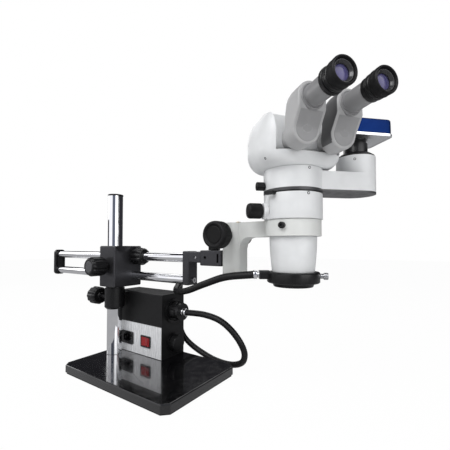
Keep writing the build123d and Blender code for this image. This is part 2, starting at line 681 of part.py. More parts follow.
def objective_lens():
    return on_pod(bar(27.4, (0, 0, OBJECTIVE_Z[0] + 2), UP, 9))


def ring_light_housing():
    """Annular light head on the objective's nose, with the block that takes the light guide."""
    lip, body, top = LIGHT_Z
    profile = [(24, lip), (NOSE_R, lip), (NOSE_R + 2, body - 1), (LIGHT_R - 1.5, body), (LIGHT_R, body + 1.5),
               (LIGHT_R, top - 1.5), (LIGHT_R - 1.5, top), (NOSE_R + 0.3, top), (NOSE_R + 0.3, body + 0.5),
               (24, body + 0.5)]
    head = turned(profile)
    inlet = slab((LIGHT_R - 3, LIGHT_R + 13), (-9, 9), (INLET_Z - 7, INLET_Z + 6.5))
    inlet = fillet(inlet.edges().filter_by(Axis.X), 3)
    head += Rot(0, 0, INLET_ANGLE - POD_TURN) * (inlet - bar(4.5, (LIGHT_R + 5, 0, INLET_Z), (1, 0, 0), 9))
    head -= ring(29.5, 25.5, (0, 0, lip - 1), UP, 4)
    screw_way = Rot(0, 0, 22 - POD_TURN)
    head -= screw_way * bar(2.5 + RUNNING, (NOSE_R - 1, 0, LIGHT_SCREW_Z), (1, 0, 0), 16)
    return on_pod(head)


def ring_light_screw():
    z = LIGHT_SCREW_Z
    screw = bar(2.5, (NOSE_R + 0.3, 0, z), (1, 0, 0), 12)
    screw += bar(4, (LIGHT_R + 0.3, 0, z), (1, 0, 0), 5)
    screw += fluted(5.5, 7, 8, 1.2, (LIGHT_R + 5, 0, z), (1, 0, 0), 1)
    return on_pod(Rot(0, 0, 22 - POD_TURN) * screw)


def dovetail_ring():
    """Dark mounting ring between the zoom body and the port body."""
    z = (ZOOM_Z[1], PORT_BODY_Z[0] - 0.2)
    return on_pod(ring(45, 24, (0, 0, z[0]), UP, z[1] - z[0]))


def head_lock_lever():
    """Short lever of the dovetail clamp, on the left."""
    z = ZOOM_Z[1] - 1
    lever = bar(2.8, (-ZOOM_R - 0.2, 0, z), (-1, 0, 0), 5)
    lever += slab((-ZOOM_R - 9, -ZOOM_R - 4), (-3, 12), (z - 2.5, z + 2.5))
    return on_pod(Rot(0, 0, 32) * lever)


# ------------------------------------------------------------------ camera port
def port_housing():
    """Beam-splitter body with the side arm and the upright camera tube."""
    low, high = PORT_BODY_Z
    arm_low = low + 1.5
    body = bar(PORT_BODY_R, (0, 0, low), UP, high - low)
    arm = slab((0, SIDE_PORT), (-SIDE_R, SIDE_R), (arm_low, high - 3))
    tube = bar(SIDE_R, (SIDE_PORT, 0, arm_low), UP, SIDE_TOP - arm_low)
    body += arm + fillet(tube.edges().sort_by(Axis.Z)[-1], 1)
    body -= bar(PORT_BODY_R - WALL, (0, 0, low + WALL), UP, high - low - 2 * WALL)
    body -= slab((0, SIDE_PORT), (-SIDE_R + WALL, SIDE_R - WALL), (arm_low + WALL, high - 6))
    body -= bar(SIDE_R - WALL, (SIDE_PORT, 0, arm_low + WALL), UP, SIDE_TOP - low)
    body -= bar(24, (0, 0, low - 1), UP, high - low + 2)
    return on_pod(body - bar(3.5 + RUNNING, (0, 0, SELECTOR_Z), (-1, 0, 0), 60))


def selector_slide():
    """Push-pull rod with the beam-splitter prism on its inner end."""
    rod = Pos(0, 0, SELECTOR_Z) * Box(28, 26, 15) + bar(3.5, (-13, 0, SELECTOR_Z), (-1, 0, 0), 42)
    knob = fluted(6.8, 13, 8, 1.2, (-47.5, 0, SELECTOR_Z), (-1, 0, 0), 1)
    return on_pod(rod + knob)


def camera_adapter():
    """Tapered flange and threaded neck under the camera."""
    z = SIDE_TOP
    seat_r = SIDE_R - WALL - SEAT
    profile = [(20, z - 10), (seat_r, z - 10), (seat_r, z), (29.5, z), (29.5, z + 2), (24, z + 6), (19, z + 7),
               (19, CAMERA_Z[0] - 4), (17, CAMERA_Z[0] - 4), (17, CAMERA_Z[0]), (13, CAMERA_Z[0])]
    return on_pod(Pos(SIDE_PORT, 0, 0) * turned(profile))


def camera_outline(inset):
    """Rounded plan of the camera, longer on the outer side of the port."""
    plan = Rectangle(76 - 2 * inset, 66 - 2 * inset)
    return Pos(SIDE_PORT + 10, 0, 0) * fillet(plan.vertices(), 9 - inset / 2)


def camera_base():
    low, seam = CAMERA_Z[:2]
    upper = Pos(0, 0, low + 3) * extrude(camera_outline(0), seam - low - 3)
    lower = Pos(0, 0, low) * extrude(camera_outline(9), 3)
    wedge = loft([Pos(0, 0, low) * camera_outline(9), Pos(0, 0, low + 3) * camera_outline(0)])
    body = upper + lower + wedge
    return on_pod(body - bar(12, (SIDE_PORT, 0, low - 1), UP, 6))


def camera_cover():
    seam, top = CAMERA_Z[1:]
    cover = Pos(0, 0, seam) * extrude(camera_outline(0.8), top - seam)
    cover = fillet(cover.faces().sort_by(Axis.Z)[-1].edges(), 1.5)
    room = Pos(0, 0, seam) * extrude(camera_outline(WALL), top - seam - 2)
    return on_pod(cover - room)


# ------------------------------------------------------------------ eyepiece head
def shell_envelope(inset):
    """Outer form of the head: crossed front and side outlines, kept inside the turning radius."""
    low, high = SHELL_Z[0] + inset, SHELL_Z[1] - inset
    half = SHELL_HALF - inset
    front = [(-40, low), (-half + 12, low + 6), (-half + 4, low + 14), (-half, low + 27), (-half, low + 50),
             (-half + 5, low + 66), (-half + 14, high - 5), (-half + 22, high)]
    front += [(-x, z) for x, z in reversed(front)]
    front_solid = make_face(Polyline([(x, -70, z) for x, z in front], close=True))
    front_solid = extrude(front_solid, 140, dir=(0, 1, 0))
    reach = 54 - inset
    side = [(-46, low), (-reach + 4, low + 7), (-reach + 2, low + 22), (-reach + 6, low + 50), (-24, high),
            (reach - 26, high), (reach, high - 26), (reach, low + 16), (46, low)]
    side_solid = extrude(make_face(Polyline([(-80, y, z) for y, z in side], close=True)), 160, dir=(1, 0, 0))
    turning = bar(SHELL_SWEEP - inset, (0, 0, low - 1), UP, 100)
    return front_solid & side_solid & turning


def head_shell():
    """Hollow cover with the front opening that the tilting drum closes."""
    shell = shell_envelope(0) - shell_envelope(WALL)
    opening_y = (-80, 20)
    shell -= slab((-OPENING_HALF, OPENING_HALF), opening_y, (LIP_Z, SHELL_Z[1] + 1))
    for side in (-1, 1):
        inner = side * (OPENING_HALF + WALL / 2)
        cheek = slab((inner - WALL / 2, inner + WALL / 2), (-80, 80), (LIP_Z - 12, SHELL_Z[1]))
        shell += cheek & shell_envelope(1)
    shell -= bar(5 + RUNNING, (-SHELL_HALF - 1, -TILT_FRONT, TILT_Z), (1, 0, 0), 2 * SHELL_HALF + 2)
    shell -= bar(24, (0, 0, SHELL_Z[0] - 1), UP, 10)
    return on_head(shell)


def tilt_drum():
    """Curved cover that turns between the cheeks and carries both prism housings."""
    half = OPENING_HALF - LOOSE
    middle = (-half, -TILT_FRONT, TILT_Z)
    drum = ring(VISOR_R, VISOR_R - WALL, middle, (1, 0, 0), 2 * half)
    for side in (-1, 1):
        end = bar(VISOR_R, (side * half, -TILT_FRONT, TILT_Z), (-side, 0, 0), WALL)
        drum += end
        drum += bar(5, (side * (half - 1), -TILT_FRONT, TILT_Z), (side, 0, 0), 12)
    drum -= slab((-half - 1, half + 1), (-60, 60), (TILT_Z - 60, TILT_Z - DRUM_CUT))
    drum -= slab((-half - 1, half + 1), (-TILT_FRONT + 8, 60), (TILT_Z - 60, TILT_Z - BACK_CUT))
    for side in (-1, 1):
        drum -= tube_bar(side * EYE_HALF, 0, -24, 26, PIVOT_R + 0.1)
    return on_head(drum)


def tube_frame(half, rise, along):
    """Plane square to the eye tubes, at a distance along them; rise is measured up from the pivot's axis."""
    slope = radians(TUBE_SLOPE)
    y = -PIVOT_START[0] - along * cos(slope) + rise * sin(slope)
    z = PIVOT_START[1] + along * sin(slope) + rise * cos(slope)
    return Plane(origin=(half, y, z), x_dir=(1, 0, 0), z_dir=(0, -cos(slope), sin(slope)))


def tube_bar(half, rise, along, length, radius):
    """Round bar parallel to the eye tubes."""
    return tube_frame(half, rise, along) * Cylinder(radius, length, align=BASE_ALIGN)


def housing_block(side, inset):
    """Side outline of the prism housing crossed with its rounded front outline."""
    slope = radians(TUBE_SLOPE)
    depth = HOUSING_DEPTH - inset
    high, low = EYE_RISE + HOUSING_HALF - inset, inset - HOUSING_HALF
    lean = EYE_LEAN / EYE_RISE
    crown = EYE_RISE - 8
    outline = [(inset, low + 5)]
    for step in range(7):
        turn = radians(15 * step)
        along = inset + lean * crown + (24 - inset) * (1 - cos(turn))
        outline.append((along, crown + (high - crown) * sin(turn)))
    outline += [(depth + EYE_LEAN, high), (depth + EYE_LEAN, crown), (depth, 0), (depth - 3, low), (6, low)]
    corners = []
    for along, rise in outline:
        y = -PIVOT_START[0] - along * cos(slope) + rise * sin(slope)
        corners.append((-100, y, PIVOT_START[1] + along * sin(slope) + rise * cos(slope)))
    beside = extrude(make_face(Polyline(corners, close=True)), 200, dir=(1, 0, 0))
    radius = HOUSING_HALF - inset
    stadium = Pos(0, EYE_RISE / 2) * Rectangle(2 * radius, EYE_RISE)
    stadium += Circle(radius) + Pos(0, EYE_RISE) * Circle(radius)
    return beside & (tube_frame(side * EYE_HALF, 0, -5) * extrude(stadium, 80))


def prism_housing(side):
    """Curved housing that swings about its lower axis to suit the user's eyes."""
    eye = side * EYE_HALF
    housing = housing_block(side, 0) - housing_block(side, WALL)
    housing += tube_bar(eye, 0, -15, 18, PIVOT_R)
    front = HOUSING_DEPTH + EYE_LEAN
    housing += tube_bar(eye, EYE_RISE, front - 1, 3, TUBE_R + 2)
    housing += tube_bar(eye, EYE_RISE, front - 1, TUBE_END - front + 1, TUBE_R)
    housing -= tube_bar(eye, EYE_RISE, front - 6, TUBE_END - front + 7, 11.6)
    housing -= tube_bar(eye, 0, -16, 20, PIVOT_R - WALL)
    return on_head(housing)


def rhomboid_prism(side):
    """Glass prism that carries the light from the pivot up to the eye tube."""
    frame = tube_frame(side * EYE_HALF, EYE_RISE / 2, 15)
    return on_head(frame * Box(15, EYE_RISE - 8, 9, align=BASE_ALIGN))


def eyepiece(side):
    """Barrel in the eye tube and the flared body outside it."""
    eye = side * EYE_HALF
    barrel = tube_bar(eye, EYE_RISE, BARREL_START, TUBE_END - BARREL_START + 1, 11.5)
    lower = tube_bar(eye, EYE_RISE, TUBE_END + 0.2, 7, EYEPIECE_R - 1)
    grip = tube_bar(eye, EYE_RISE, TUBE_END + 7.2, EYEPIECE_END - TUBE_END - 7.2, EYEPIECE_R)
    body = barrel + lower + grip
    body -= tube_bar(eye, EYE_RISE, BARREL_START - 1, 60, 9.5)
    body -= tube_bar(eye, EYE_RISE, EYEPIECE_END - 5, 10, 13)
    return on_head(body)


def diopter_ring(side):
    """Focusing ring of one eyepiece, round its lower body."""
    eye = side * EYE_HALF
    outer = tube_bar(eye, EYE_RISE, TUBE_END + 0.6, 6, EYEPIECE_R + 0.7)
    outer = chamfer(outer.edges().filter_by(GeomType.CIRCLE), 0.8)
    return on_head(outer - tube_bar(eye, EYE_RISE, TUBE_END, 9, EYEPIECE_R - 1 + RUNNING))


def eyecup(side):
    """Rubber cup with a rolled rim."""
    eye = side * EYE_HALF
    length = CUP_END - EYEPIECE_END
    profile = [(11.8, 0.4), (CUP_R - 1, 0.4), (CUP_R, 3), (CUP_R, length - 2), (CUP_R - 1.6, length),
               (CUP_R - 3, length - 1), (CUP_R - 4, 5), (11.8, 4)]
    return on_head(tube_frame(eye, EYE_RISE, EYEPIECE_END) * turned(profile))


def eye_lens(side):
    """Eye-side lens, seated just inside the cup."""
    eye = side * EYE_HALF
    return on_head(tube_bar(eye, EYE_RISE, EYEPIECE_END - 4, 6, 11.6))


# ------------------------------------------------------------------ write every node
save("base_plate", base_plate())
save("base_pad", base_pad())
save("post", post())
save("post_cap", post_cap())
save("post_bolt", post_bolt())
save("illuminator_case", illuminator_case())
save("illuminator_panel", illuminator_panel())
save("inlet_socket", inlet_socket())
save("switch_bezel", switch_bezel())
save("power_rocker", power_rocker())
save("light_port", light_port())
save("lamp_module", lamp_module())
save("cooling_fan", cooling_fan())
save("intensity_knob", intensity_knob())
save("light_guide", light_guide())
save("safety_collar", safety_collar())
save("collar_knob", clamp_knob(53, 31, 7, 12, (0, 0, sum(COLLAR_Z) / 2), (-1, 0, 0)))
save("boom_block", boom_block())
save("post_lock_knob", clamp_knob(29, 36, 12, 5.5, (0, 0, sum(BLOCK_Z) / 2 + 1), (0, -1, 0)))
save("rod_lock_nut", rod_lock_nut())
save("boom_rods", *boom_rods())
save("rear_end_plate", rear_end_plate())
save("front_bracket", front_bracket())
save("boom_screws", *boom_screws())
save("swivel_adapter", swivel_adapter())
save("adapter_knob", adapter_knob())
save("focus_rail", focus_rail())
save("focus_rack", focus_rack())
save("focus_pinion", focus_pinion())
save("focus_knobs", *focus_knobs())
save("focus_body", focus_body())
save("ring_arm", ring_arm())
save("ring_clamp_screw", ring_clamp_screw())
save("zoom_housing", zoom_housing())
save("zoom_knob", zoom_knob())
save("zoom_lens_group", zoom_lens_group())
save("objective_housing", objective_housing())
save("objective_lens", objective_lens())
save("ring_light_housing", ring_light_housing())
save("ring_light_screw", ring_light_screw())
save("dovetail_ring", dovetail_ring())
save("head_lock_lever", head_lock_lever())
save("port_housing", port_housing())
save("selector_slide", selector_slide())
save("camera_adapter", camera_adapter())
save("camera_base", camera_base())
save("camera_cover", camera_cover())
save("head_shell", head_shell())
save("tilt_drum", tilt_drum())
for name, side in (("left", -1), ("right", 1)):
    save(f"prism_housing_{name}", prism_housing(side))
    save(f"rhomboid_prism_{name}", rhomboid_prism(side))
    save(f"eyepiece_{name}", eyepiece(side))
    save(f"eyecup_{name}", eyecup(side))
    save(f"eye_lens_{name}", eye_lens(side))
save("diopter_ring_left", diopter_ring(-1))
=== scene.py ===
import bmesh
import bpy
import json
import math
from mathutils import Matrix, Vector


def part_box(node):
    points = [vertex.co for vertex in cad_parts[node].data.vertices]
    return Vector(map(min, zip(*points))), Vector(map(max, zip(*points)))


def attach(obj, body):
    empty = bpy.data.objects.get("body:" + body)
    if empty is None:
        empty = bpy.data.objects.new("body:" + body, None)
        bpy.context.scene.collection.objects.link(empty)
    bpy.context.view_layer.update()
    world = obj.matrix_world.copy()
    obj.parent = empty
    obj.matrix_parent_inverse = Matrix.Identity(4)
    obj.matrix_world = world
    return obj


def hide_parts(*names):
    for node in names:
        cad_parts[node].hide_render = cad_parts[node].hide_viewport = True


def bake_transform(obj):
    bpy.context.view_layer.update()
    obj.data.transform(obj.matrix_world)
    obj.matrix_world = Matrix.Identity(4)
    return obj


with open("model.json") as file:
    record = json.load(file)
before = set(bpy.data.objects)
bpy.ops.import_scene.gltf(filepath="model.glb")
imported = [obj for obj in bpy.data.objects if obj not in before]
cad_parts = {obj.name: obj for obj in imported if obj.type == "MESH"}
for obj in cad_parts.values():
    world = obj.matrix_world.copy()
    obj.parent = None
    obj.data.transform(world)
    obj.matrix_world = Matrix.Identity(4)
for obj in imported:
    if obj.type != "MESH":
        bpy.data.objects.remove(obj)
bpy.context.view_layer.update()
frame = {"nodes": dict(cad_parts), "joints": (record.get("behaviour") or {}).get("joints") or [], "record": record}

# Stereo microscope on a twin-rod boom stand. The CAD frame is kept, and this script adds the looks:
# smooth moulded covers, turned and knurled parts, the bending light guide and the materials.
# Lengths in this file are millimetres until metres() turns them into the frame's metres.

MM = 0.001
UP = Vector((0, 0, 1))
nodes = frame["nodes"]
joints = {joint["name"]: joint for joint in frame["joints"]}
slot_of = {part["node"]: part["material_slot"] for part in frame["record"]["subparts"]}


def metres(x, y, z):
    return Vector((x, y, z)) * MM


def joint_axis(name):
    return Vector(joints[name]["axis"]).normalized()


def joint_place(name):
    return Vector(joints[name]["pos_m"])


def span(node, origin, axis):
    """Where a CAD node starts and ends along an axis, in millimetres from origin."""
    values = [(vertex.co - origin).dot(axis) / MM for vertex in nodes[node].data.vertices]
    return min(values), max(values)


def girth(node, origin, axis):
    """Largest distance of a CAD node from an axis, in millimetres."""
    offsets = [vertex.co - origin for vertex in nodes[node].data.vertices]
    return max((offset - axis * offset.dot(axis)).length for offset in offsets) / MM


# ------------------------------------------------------------------ materials
MIX_COLOURS = (6, 7)      # a colour mix node's two colour inputs
MIX_RESULT = 2            # and its colour output


class Look:
    """Small helper that builds one procedural material."""

    def __init__(self, name, roughness=0.5, metallic=0.0, **inputs):
        self.material = bpy.data.materials.new(name)
        self.material.use_nodes = True
        self.tree = self.material.node_tree
        self.shader = self.tree.nodes["Principled BSDF"]
        self.shader.inputs["Roughness"].default_value = roughness
        self.shader.inputs["Metallic"].default_value = metallic
        for key, value in inputs.items():
            self.shader.inputs[key.replace("_", " ")].default_value = value
        self.place = self.tree.nodes.new("ShaderNodeTexCoord").outputs["Object"]

    def link(self, source, target):
        self.tree.links.new(source, target)

    def stretched(self, stretch):
        """Object coordinates scaled along each axis."""
        mapping = self.tree.nodes.new("ShaderNodeMapping")
        mapping.inputs["Scale"].default_value = stretch
        self.link(self.place, mapping.inputs["Vector"])
        return mapping.outputs["Vector"]

    def noise(self, scale, detail=3.0, stretch=(1, 1, 1)):
        """Noise with scale features to the metre."""
        texture = self.tree.nodes.new("ShaderNodeTexNoise")
        texture.inputs["Scale"].default_value = scale
        texture.inputs["Detail"].default_value = detail
        self.link(self.stretched(stretch), texture.inputs["Vector"])
        return texture.outputs["Fac"]

    def spread(self, value, low, high, start=0.3, end=0.7):
        """Take a value from the range start to end to the range low to high."""
        change = self.tree.nodes.new("ShaderNodeMapRange")
        change.inputs["From Min"].default_value = start
        change.inputs["From Max"].default_value = end
        change.inputs["To Min"].default_value = low
        change.inputs["To Max"].default_value = high
        self.link(value, change.inputs["Value"])
        return change.outputs["Result"]

    def blend(self, share, first, second):
        """Colour between first and second; each is a colour or another node's output."""
        mix = self.tree.nodes.new("ShaderNodeMix")
        mix.data_type = "RGBA"
        self.link(share, mix.inputs["Factor"])
        for number, colour in zip(MIX_COLOURS, (first, second)):
            if isinstance(colour, tuple):
                mix.inputs[number].default_value = (*colour, 1)
            else:
                self.link(colour, mix.inputs[number])
        return mix.outputs[MIX_RESULT]

    def edges(self, radius):
        """About 1 on edges and 0 on flat faces: worn edges in the coated finishes, painted highlight on the base
        enamel, painted shade on the rocker.
        """
        soft = self.tree.nodes.new("ShaderNodeBevel")
        soft.samples = 4
        soft.inputs["Radius"].default_value = radius * MM
        sharp = self.tree.nodes.new("ShaderNodeNewGeometry")
        compare = self.tree.nodes.new("ShaderNodeVectorMath")
        compare.operation = "DOT_PRODUCT"
        self.link(soft.outputs["Normal"], compare.inputs[0])
        self.link(sharp.outputs["Normal"], compare.inputs[1])
        return self.spread(compare.outputs["Value"], 1.0, 0.0, 0.7, 0.98)

    def colour(self, source):
        self.link(source, self.shader.inputs["Base Color"])
        return self

    def roughness(self, source):
        self.link(source, self.shader.inputs["Roughness"])
        return self

    def bump(self, height, depth):
        """Raise the surface by up to depth millimetres where height is 1."""
        node = self.tree.nodes.new("ShaderNodeBump")
        node.inputs["Distance"].default_value = depth * MM
        self.link(height, node.inputs["Height"])
        self.link(node.outputs["Normal"], self.shader.inputs["Normal"])
        return self


def coated(name, colour, worn, roughness, grain, depth, wear=0.35, **more):
    """Paint, powder coat or moulded plastic: fine grain, slight mottling and paler edges."""
    look = Look(name, **more)
    mottle = look.spread(look.noise(26), 0.0, 1.0)
    shade = look.blend(mottle, tuple(c * 0.93 for c in colour), tuple(min(1, c * 1.05) for c in colour))
    edge = look.spread(look.noise(320), 0.0, wear, 0.35, 0.65)
    mask = look.tree.nodes.new("ShaderNodeMath")
    mask.operation = "MULTIPLY"
    look.link(look.edges(0.7), mask.inputs[0])
    look.link(edge, mask.inputs[1])
    look.colour(look.blend(mask.outputs[0], shade, worn))
    look.roughness(look.spread(look.noise(90, 4), roughness - 0.05, roughness + 0.07))
    return look.bump(look.noise(grain, 2), depth)


def chrome():
    """Polished hard chrome with faint lengthwise haze and hairline scratches."""
    look = Look("chrome_polished", metallic=1.0)
    look.colour(look.blend(look.spread(look.noise(60), 0.0, 1.0), (0.83, 0.84, 0.86), (0.90, 0.90, 0.91)))
    look.roughness(look.spread(look.noise(900, 4, (1, 1, 0.06)), 0.045, 0.06))
    return look.bump(look.noise(60, 1), 0.0004)


def brushed(name, colour, along, roughness=0.28, metallic=1.0):
    """Metal brushed along one axis."""
    look = Look(name, metallic=metallic, Anisotropic=0.6)
    stretch = tuple(0.02 if axis == along else 1.0 for axis in range(3))
    lines = look.noise(2400, 5, stretch)
    look.colour(look.blend(look.spread(lines, 0.0, 1.0), tuple(c * 0.84 for c in colour), colour))
    look.roughness(look.spread(lines, roughness - 0.06, roughness + 0.12))
    return look.bump(lines, 0.006)


def rubber(name, colour, roughness=0.72):
    """Matt rubber with a dusty bloom and a fine grain."""
    look = Look(name, Specular_IOR_Level=0.2)
    dust = look.spread(look.noise(45, 5), 0.0, 0.5, 0.45, 0.75)
    look.colour(look.blend(dust, colour, tuple(c + 0.012 for c in colour)))
    look.roughness(look.spread(look.noise(500, 3), roughness - 0.08, roughness + 0.08))
    return look.bump(look.noise(2200, 3), 0.02)


def gloss_black():
    """Deep gloss enamel on cast iron: long orange-peel ripple under a mirror finish, with every edge painted
    lighter as a painted highlight.
    """
    look = Look("base_enamel", Coat_Weight=1.0, Coat_Roughness=0.03)
    # Painted highlight: the edges are lighter than the flat enamel.
    look.colour(look.blend(look.edges(1.2), (0.003, 0.003, 0.0035), (0.03, 0.03, 0.032)))
    look.roughness(look.spread(look.noise(70, 5), 0.12, 0.26))
    return look.bump(look.noise(110, 1), 0.006)


def coated_lens():
    """Dark lens whose coating shows violet face-on and blue at a slant."""
    look = Look("coated_lens", roughness=0.16, Specular_IOR_Level=0.4)
    slant = look.tree.nodes.new("ShaderNodeLayerWeight")
    slant.inputs["Blend"].default_value = 0.45
    cloudy = look.blend(look.spread(look.noise(70), 0.0, 1.0), (0.035, 0.030, 0.12), (0.075, 0.062, 0.21))
    look.colour(look.blend(slant.outputs["Facing"], cloudy, (0.05, 0.05, 0.10)))
    return look.bump(look.noise(300, 1), 0.002)


def clear_glass():
    """Clear optical glass with a faint green tint."""
    look = Look("optical_glass", roughness=0.02, Transmission_Weight=0.85, IOR=1.52)
    look.colour(look.blend(look.spread(look.noise(50), 0.0, 1.0), (0.80, 0.86, 0.88), (0.90, 0.94, 0.96)))
    return look.bump(look.noise(300, 1), 0.001)


def rocker_red():
    """Translucent red switch cap, painted darker towards its edges as painted shade."""
    look = Look("rocker_red", roughness=0.22, Coat_Weight=0.5, Subsurface_Weight=0.15)
    # Painted shade: the red darkens towards the edges.
    look.colour(look.blend(look.edges(1.6), (0.30, 0.004, 0.006), (0.10, 0.001, 0.002)))
    return look.bump(look.noise(900, 2), 0.008)


PORT_SHADE_BAND = 4.4          # height of the painted shade band along the bottom of the camera arm


def port_white():
    """Cover plastic whose lowest stretch is painted near black: painted shade along the underside of the camera
    arm.
    """
    look = coated("port_white", (0.63, 0.64, 0.65), (0.80, 0.80, 0.80), 0.36, 1500, 0.008)
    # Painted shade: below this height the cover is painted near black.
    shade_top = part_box("port_housing")[0].z + PORT_SHADE_BAND * MM
    height = look.tree.nodes.new("ShaderNodeSeparateXYZ")
    look.link(look.place, height.inputs["Vector"])
    share = look.spread(height.outputs["Z"], 0.0, 1.0, shade_top - 0.1 * MM, shade_top + 0.1 * MM)
    paint = look.shader.inputs["Base Color"].links[0].from_socket
    return look.colour(look.blend(share, (0.035, 0.035, 0.037), paint))


def hose_jacket():
    """Satin black jacket over a spiral strip: fine matt grain, faint scuffs."""
    look = Look("hose_jacket", Specular_IOR_Level=0.3)
    scuff = look.spread(look.noise(140, 6), 0.0, 0.6, 0.55, 0.8)
    look.colour(look.blend(scuff, (0.004, 0.004, 0.0045), (0.014, 0.014, 0.015)))
    look.roughness(look.spread(look.noise(420, 3), 0.34, 0.52))
    return look.bump(look.noise(1700, 3), 0.012)


BLACK = (0.0045, 0.0045, 0.005)
LOOKS = {
    "base_iron": gloss_black(),
    "pad_rubber": rubber("pad_rubber", (0.014, 0.014, 0.014)),
    "chrome": chrome(),
    "black_plastic": coated("black_plastic", BLACK, (0.03, 0.03, 0.032), 0.36, 1300, 0.02,
                            Specular_IOR_Level=0.3),
    "zinc_steel": brushed("zinc_steel", (0.62, 0.62, 0.63), 2, 0.24),
    "case_black": coated("case_black", (0.006, 0.006, 0.0065), (0.05, 0.05, 0.05), 0.44, 1900, 0.035,
                         Specular_IOR_Level=0.3),
    "panel_aluminium": brushed("panel_aluminium", (0.90, 0.91, 0.93), 2, 0.24, 0.3),
    "socket_black": coated("socket_black", (0.008, 0.008, 0.009), (0.05, 0.05, 0.05), 0.25, 900, 0.01),
    "rocker_red": rocker_red(),
    "lamp_metal": brushed("lamp_metal", (0.6, 0.6, 0.6), 0, 0.3),
    "anodised_black": coated("anodised_black", (0.006, 0.006, 0.0065), (0.09, 0.09, 0.095), 0.31, 2600, 0.012,
                             metallic=0.15, Specular_IOR_Level=0.4),
    "arm_white": coated("arm_powder_coat", (0.56, 0.57, 0.56), (0.76, 0.76, 0.75), 0.44, 1100, 0.03),
    "pod_white": coated("pod_white", (0.62, 0.63, 0.64), (0.80, 0.80, 0.80), 0.38, 1500, 0.008),
    "prism_grey": coated("prism_grey", (0.34, 0.34, 0.345), (0.50, 0.50, 0.50), 0.42, 1500, 0.012),
    "glass": clear_glass(),
    "coated_glass": coated_lens(),
    "camera_silver": brushed("camera_silver", (0.78, 0.79, 0.80), 0, 0.26),
    "camera_blue": coated("camera_blue", (0.0005, 0.015, 0.095), (0.03, 0.08, 0.26), 0.40, 3200, 0.006,
                          metallic=0.6, Specular_IOR_Level=0.1),
    "black_rubber": rubber("black_rubber", (0.005, 0.005, 0.0055), 0.55),
    "hose_black": hose_jacket(),
    "brass": brushed("brass_rack", (0.72, 0.54, 0.26), 2, 0.3),
}
# Darker grey for the prism housings' inner sides: painted shade in the gap between the two housings.
PRISM_SIDE_PAINTED_SHADE = coated("prism_side_painted_shade", (0.085, 0.085, 0.088), (0.22, 0.22, 0.22), 0.40, 1500, 0.012)
PRISM_FACE = coated("prism_face_grey", (0.235, 0.235, 0.24), (0.36, 0.36, 0.36), 0.45, 1400, 0.014)
PORT_WHITE = port_white()
TUBE_GREY = coated("eye_tube_grey", (0.20, 0.20, 0.205), (0.40, 0.40, 0.40), 0.36, 1800, 0.010)
RING_SATIN = coated("ring_satin", (0.05, 0.05, 0.052), (0.25, 0.25, 0.25), 0.22, 2600, 0.006, metallic=0.5)
DISC_SATIN = coated("knob_disc", (0.065, 0.065, 0.07), (0.30, 0.30, 0.31), 0.30, 1800, 0.012, metallic=0.2)
DISC_BLACK = coated("dish_black", (0.003, 0.003, 0.003), (0.02, 0.02, 0.02), 0.5, 1800, 0.012,
                    Specular_IOR_Level=0.2)
BLOCK_SATIN = coated("block_satin", (0.055, 0.055, 0.060), (0.16, 0.16, 0.17), 0.34, 2600, 0.012,
                     metallic=0.75)


# ------------------------------------------------------------------ mesh building
def add_piece(name, mesh, body, look, sharp=35):
    """Turn a mesh in millimetres into a piece that rides on a body."""
    mesh.transform(Matrix.Scale(MM, 4))
    piece = bpy.data.objects.new(name, mesh)
    bpy.context.scene.collection.objects.link(piece)
    mesh.polygons.foreach_set("use_smooth", [True] * len(mesh.polygons))
    mesh.set_sharp_from_angle(angle=math.radians(sharp))
    mesh.materials.append(look.material)
    if body:
        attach(piece, body)
    return piece


def finished(name, shape):
    """Close a bmesh into a mesh with its faces turned outwards."""
    bmesh.ops.recalc_face_normals(shape, faces=shape.faces)
    mesh = bpy.data.meshes.new(name)
    shape.to_mesh(mesh)
    shape.free()
    return mesh


def skin(rings, closed=False):
    """Quads between equal rings of points. Closed joins the last ring to the first; else both are capped."""
    shape = bmesh.new()
    rows = [[shape.verts.new(point) for point in ring] for ring in rings]
    count = len(rows[0])
    pairs = list(zip(rows, rows[1:]))
    if closed:
        pairs.append((rows[-1], rows[0]))
    for first, second in pairs:
        for i in range(count):
            j = (i + 1) % count
            shape.faces.new((first[i], first[j], second[j], second[i]))
    if not closed:
        for row in (rows[0], rows[-1]):
            middle = shape.verts.new(sum((vertex.co for vertex in row), Vector()) / count)
            for i in range(count):
                shape.faces.new((row[i], row[(i + 1) % count], middle))
    return shape


def soften(corners, steps=4):
    """Outline from (x, y, radius) corners; each corner with a radius becomes a small curve."""
    outline = []
    for i, (x, y, radius) in enumerate(corners):
        here = Vector((x, y))
        if not radius:
            outline.append((x, y))
            continue
        before = Vector(corners[i - 1][:2]) - here
        after = Vector(corners[(i + 1) % len(corners)][:2]) - here
        cut = min(radius, before.length * 0.49, after.length * 0.49)
        start, end = here + before.normalized() * cut, here + after.normalized() * cut
        for step in range(steps + 1):
            t = step / steps
            point = start * (1 - t) ** 2 + here * (2 * t * (1 - t)) + end * t * t
            outline.append((point.x, point.y))
    return outline


def turned(corners, origin, axis, sides=96, wave=None):
    """Solid turned about an axis from (radius, along, corner radius); wave varies the radius."""
    outline = soften(corners)
    has_bore = all(radius > 0.01 for radius, _ in outline)
    across = axis.orthogonal().normalized()
    other = axis.cross(across)
    rings = []
    for radius, along in outline:
        ring = []
        for side in range(sides):
            angle = 2 * math.pi * side / sides
            reach = wave(angle, radius, along) if wave else radius
            outward = across * math.cos(angle) + other * math.sin(angle)
            ring.append(origin / MM + axis * along + outward * reach)
        rings.append(ring)
    return skin(rings, closed=has_bore)


def grip(count, depth, low, high, power=1.0, least=0.0):
    """Wave for ribs or flutes on the band between low and high of a turned part, outside radius least."""
    def wave(angle, radius, along):
        if not low <= along <= high or radius < least:
            return radius
        groove = (0.5 + 0.5 * math.cos(count * angle)) ** power
        return radius - depth * groove
    return wave


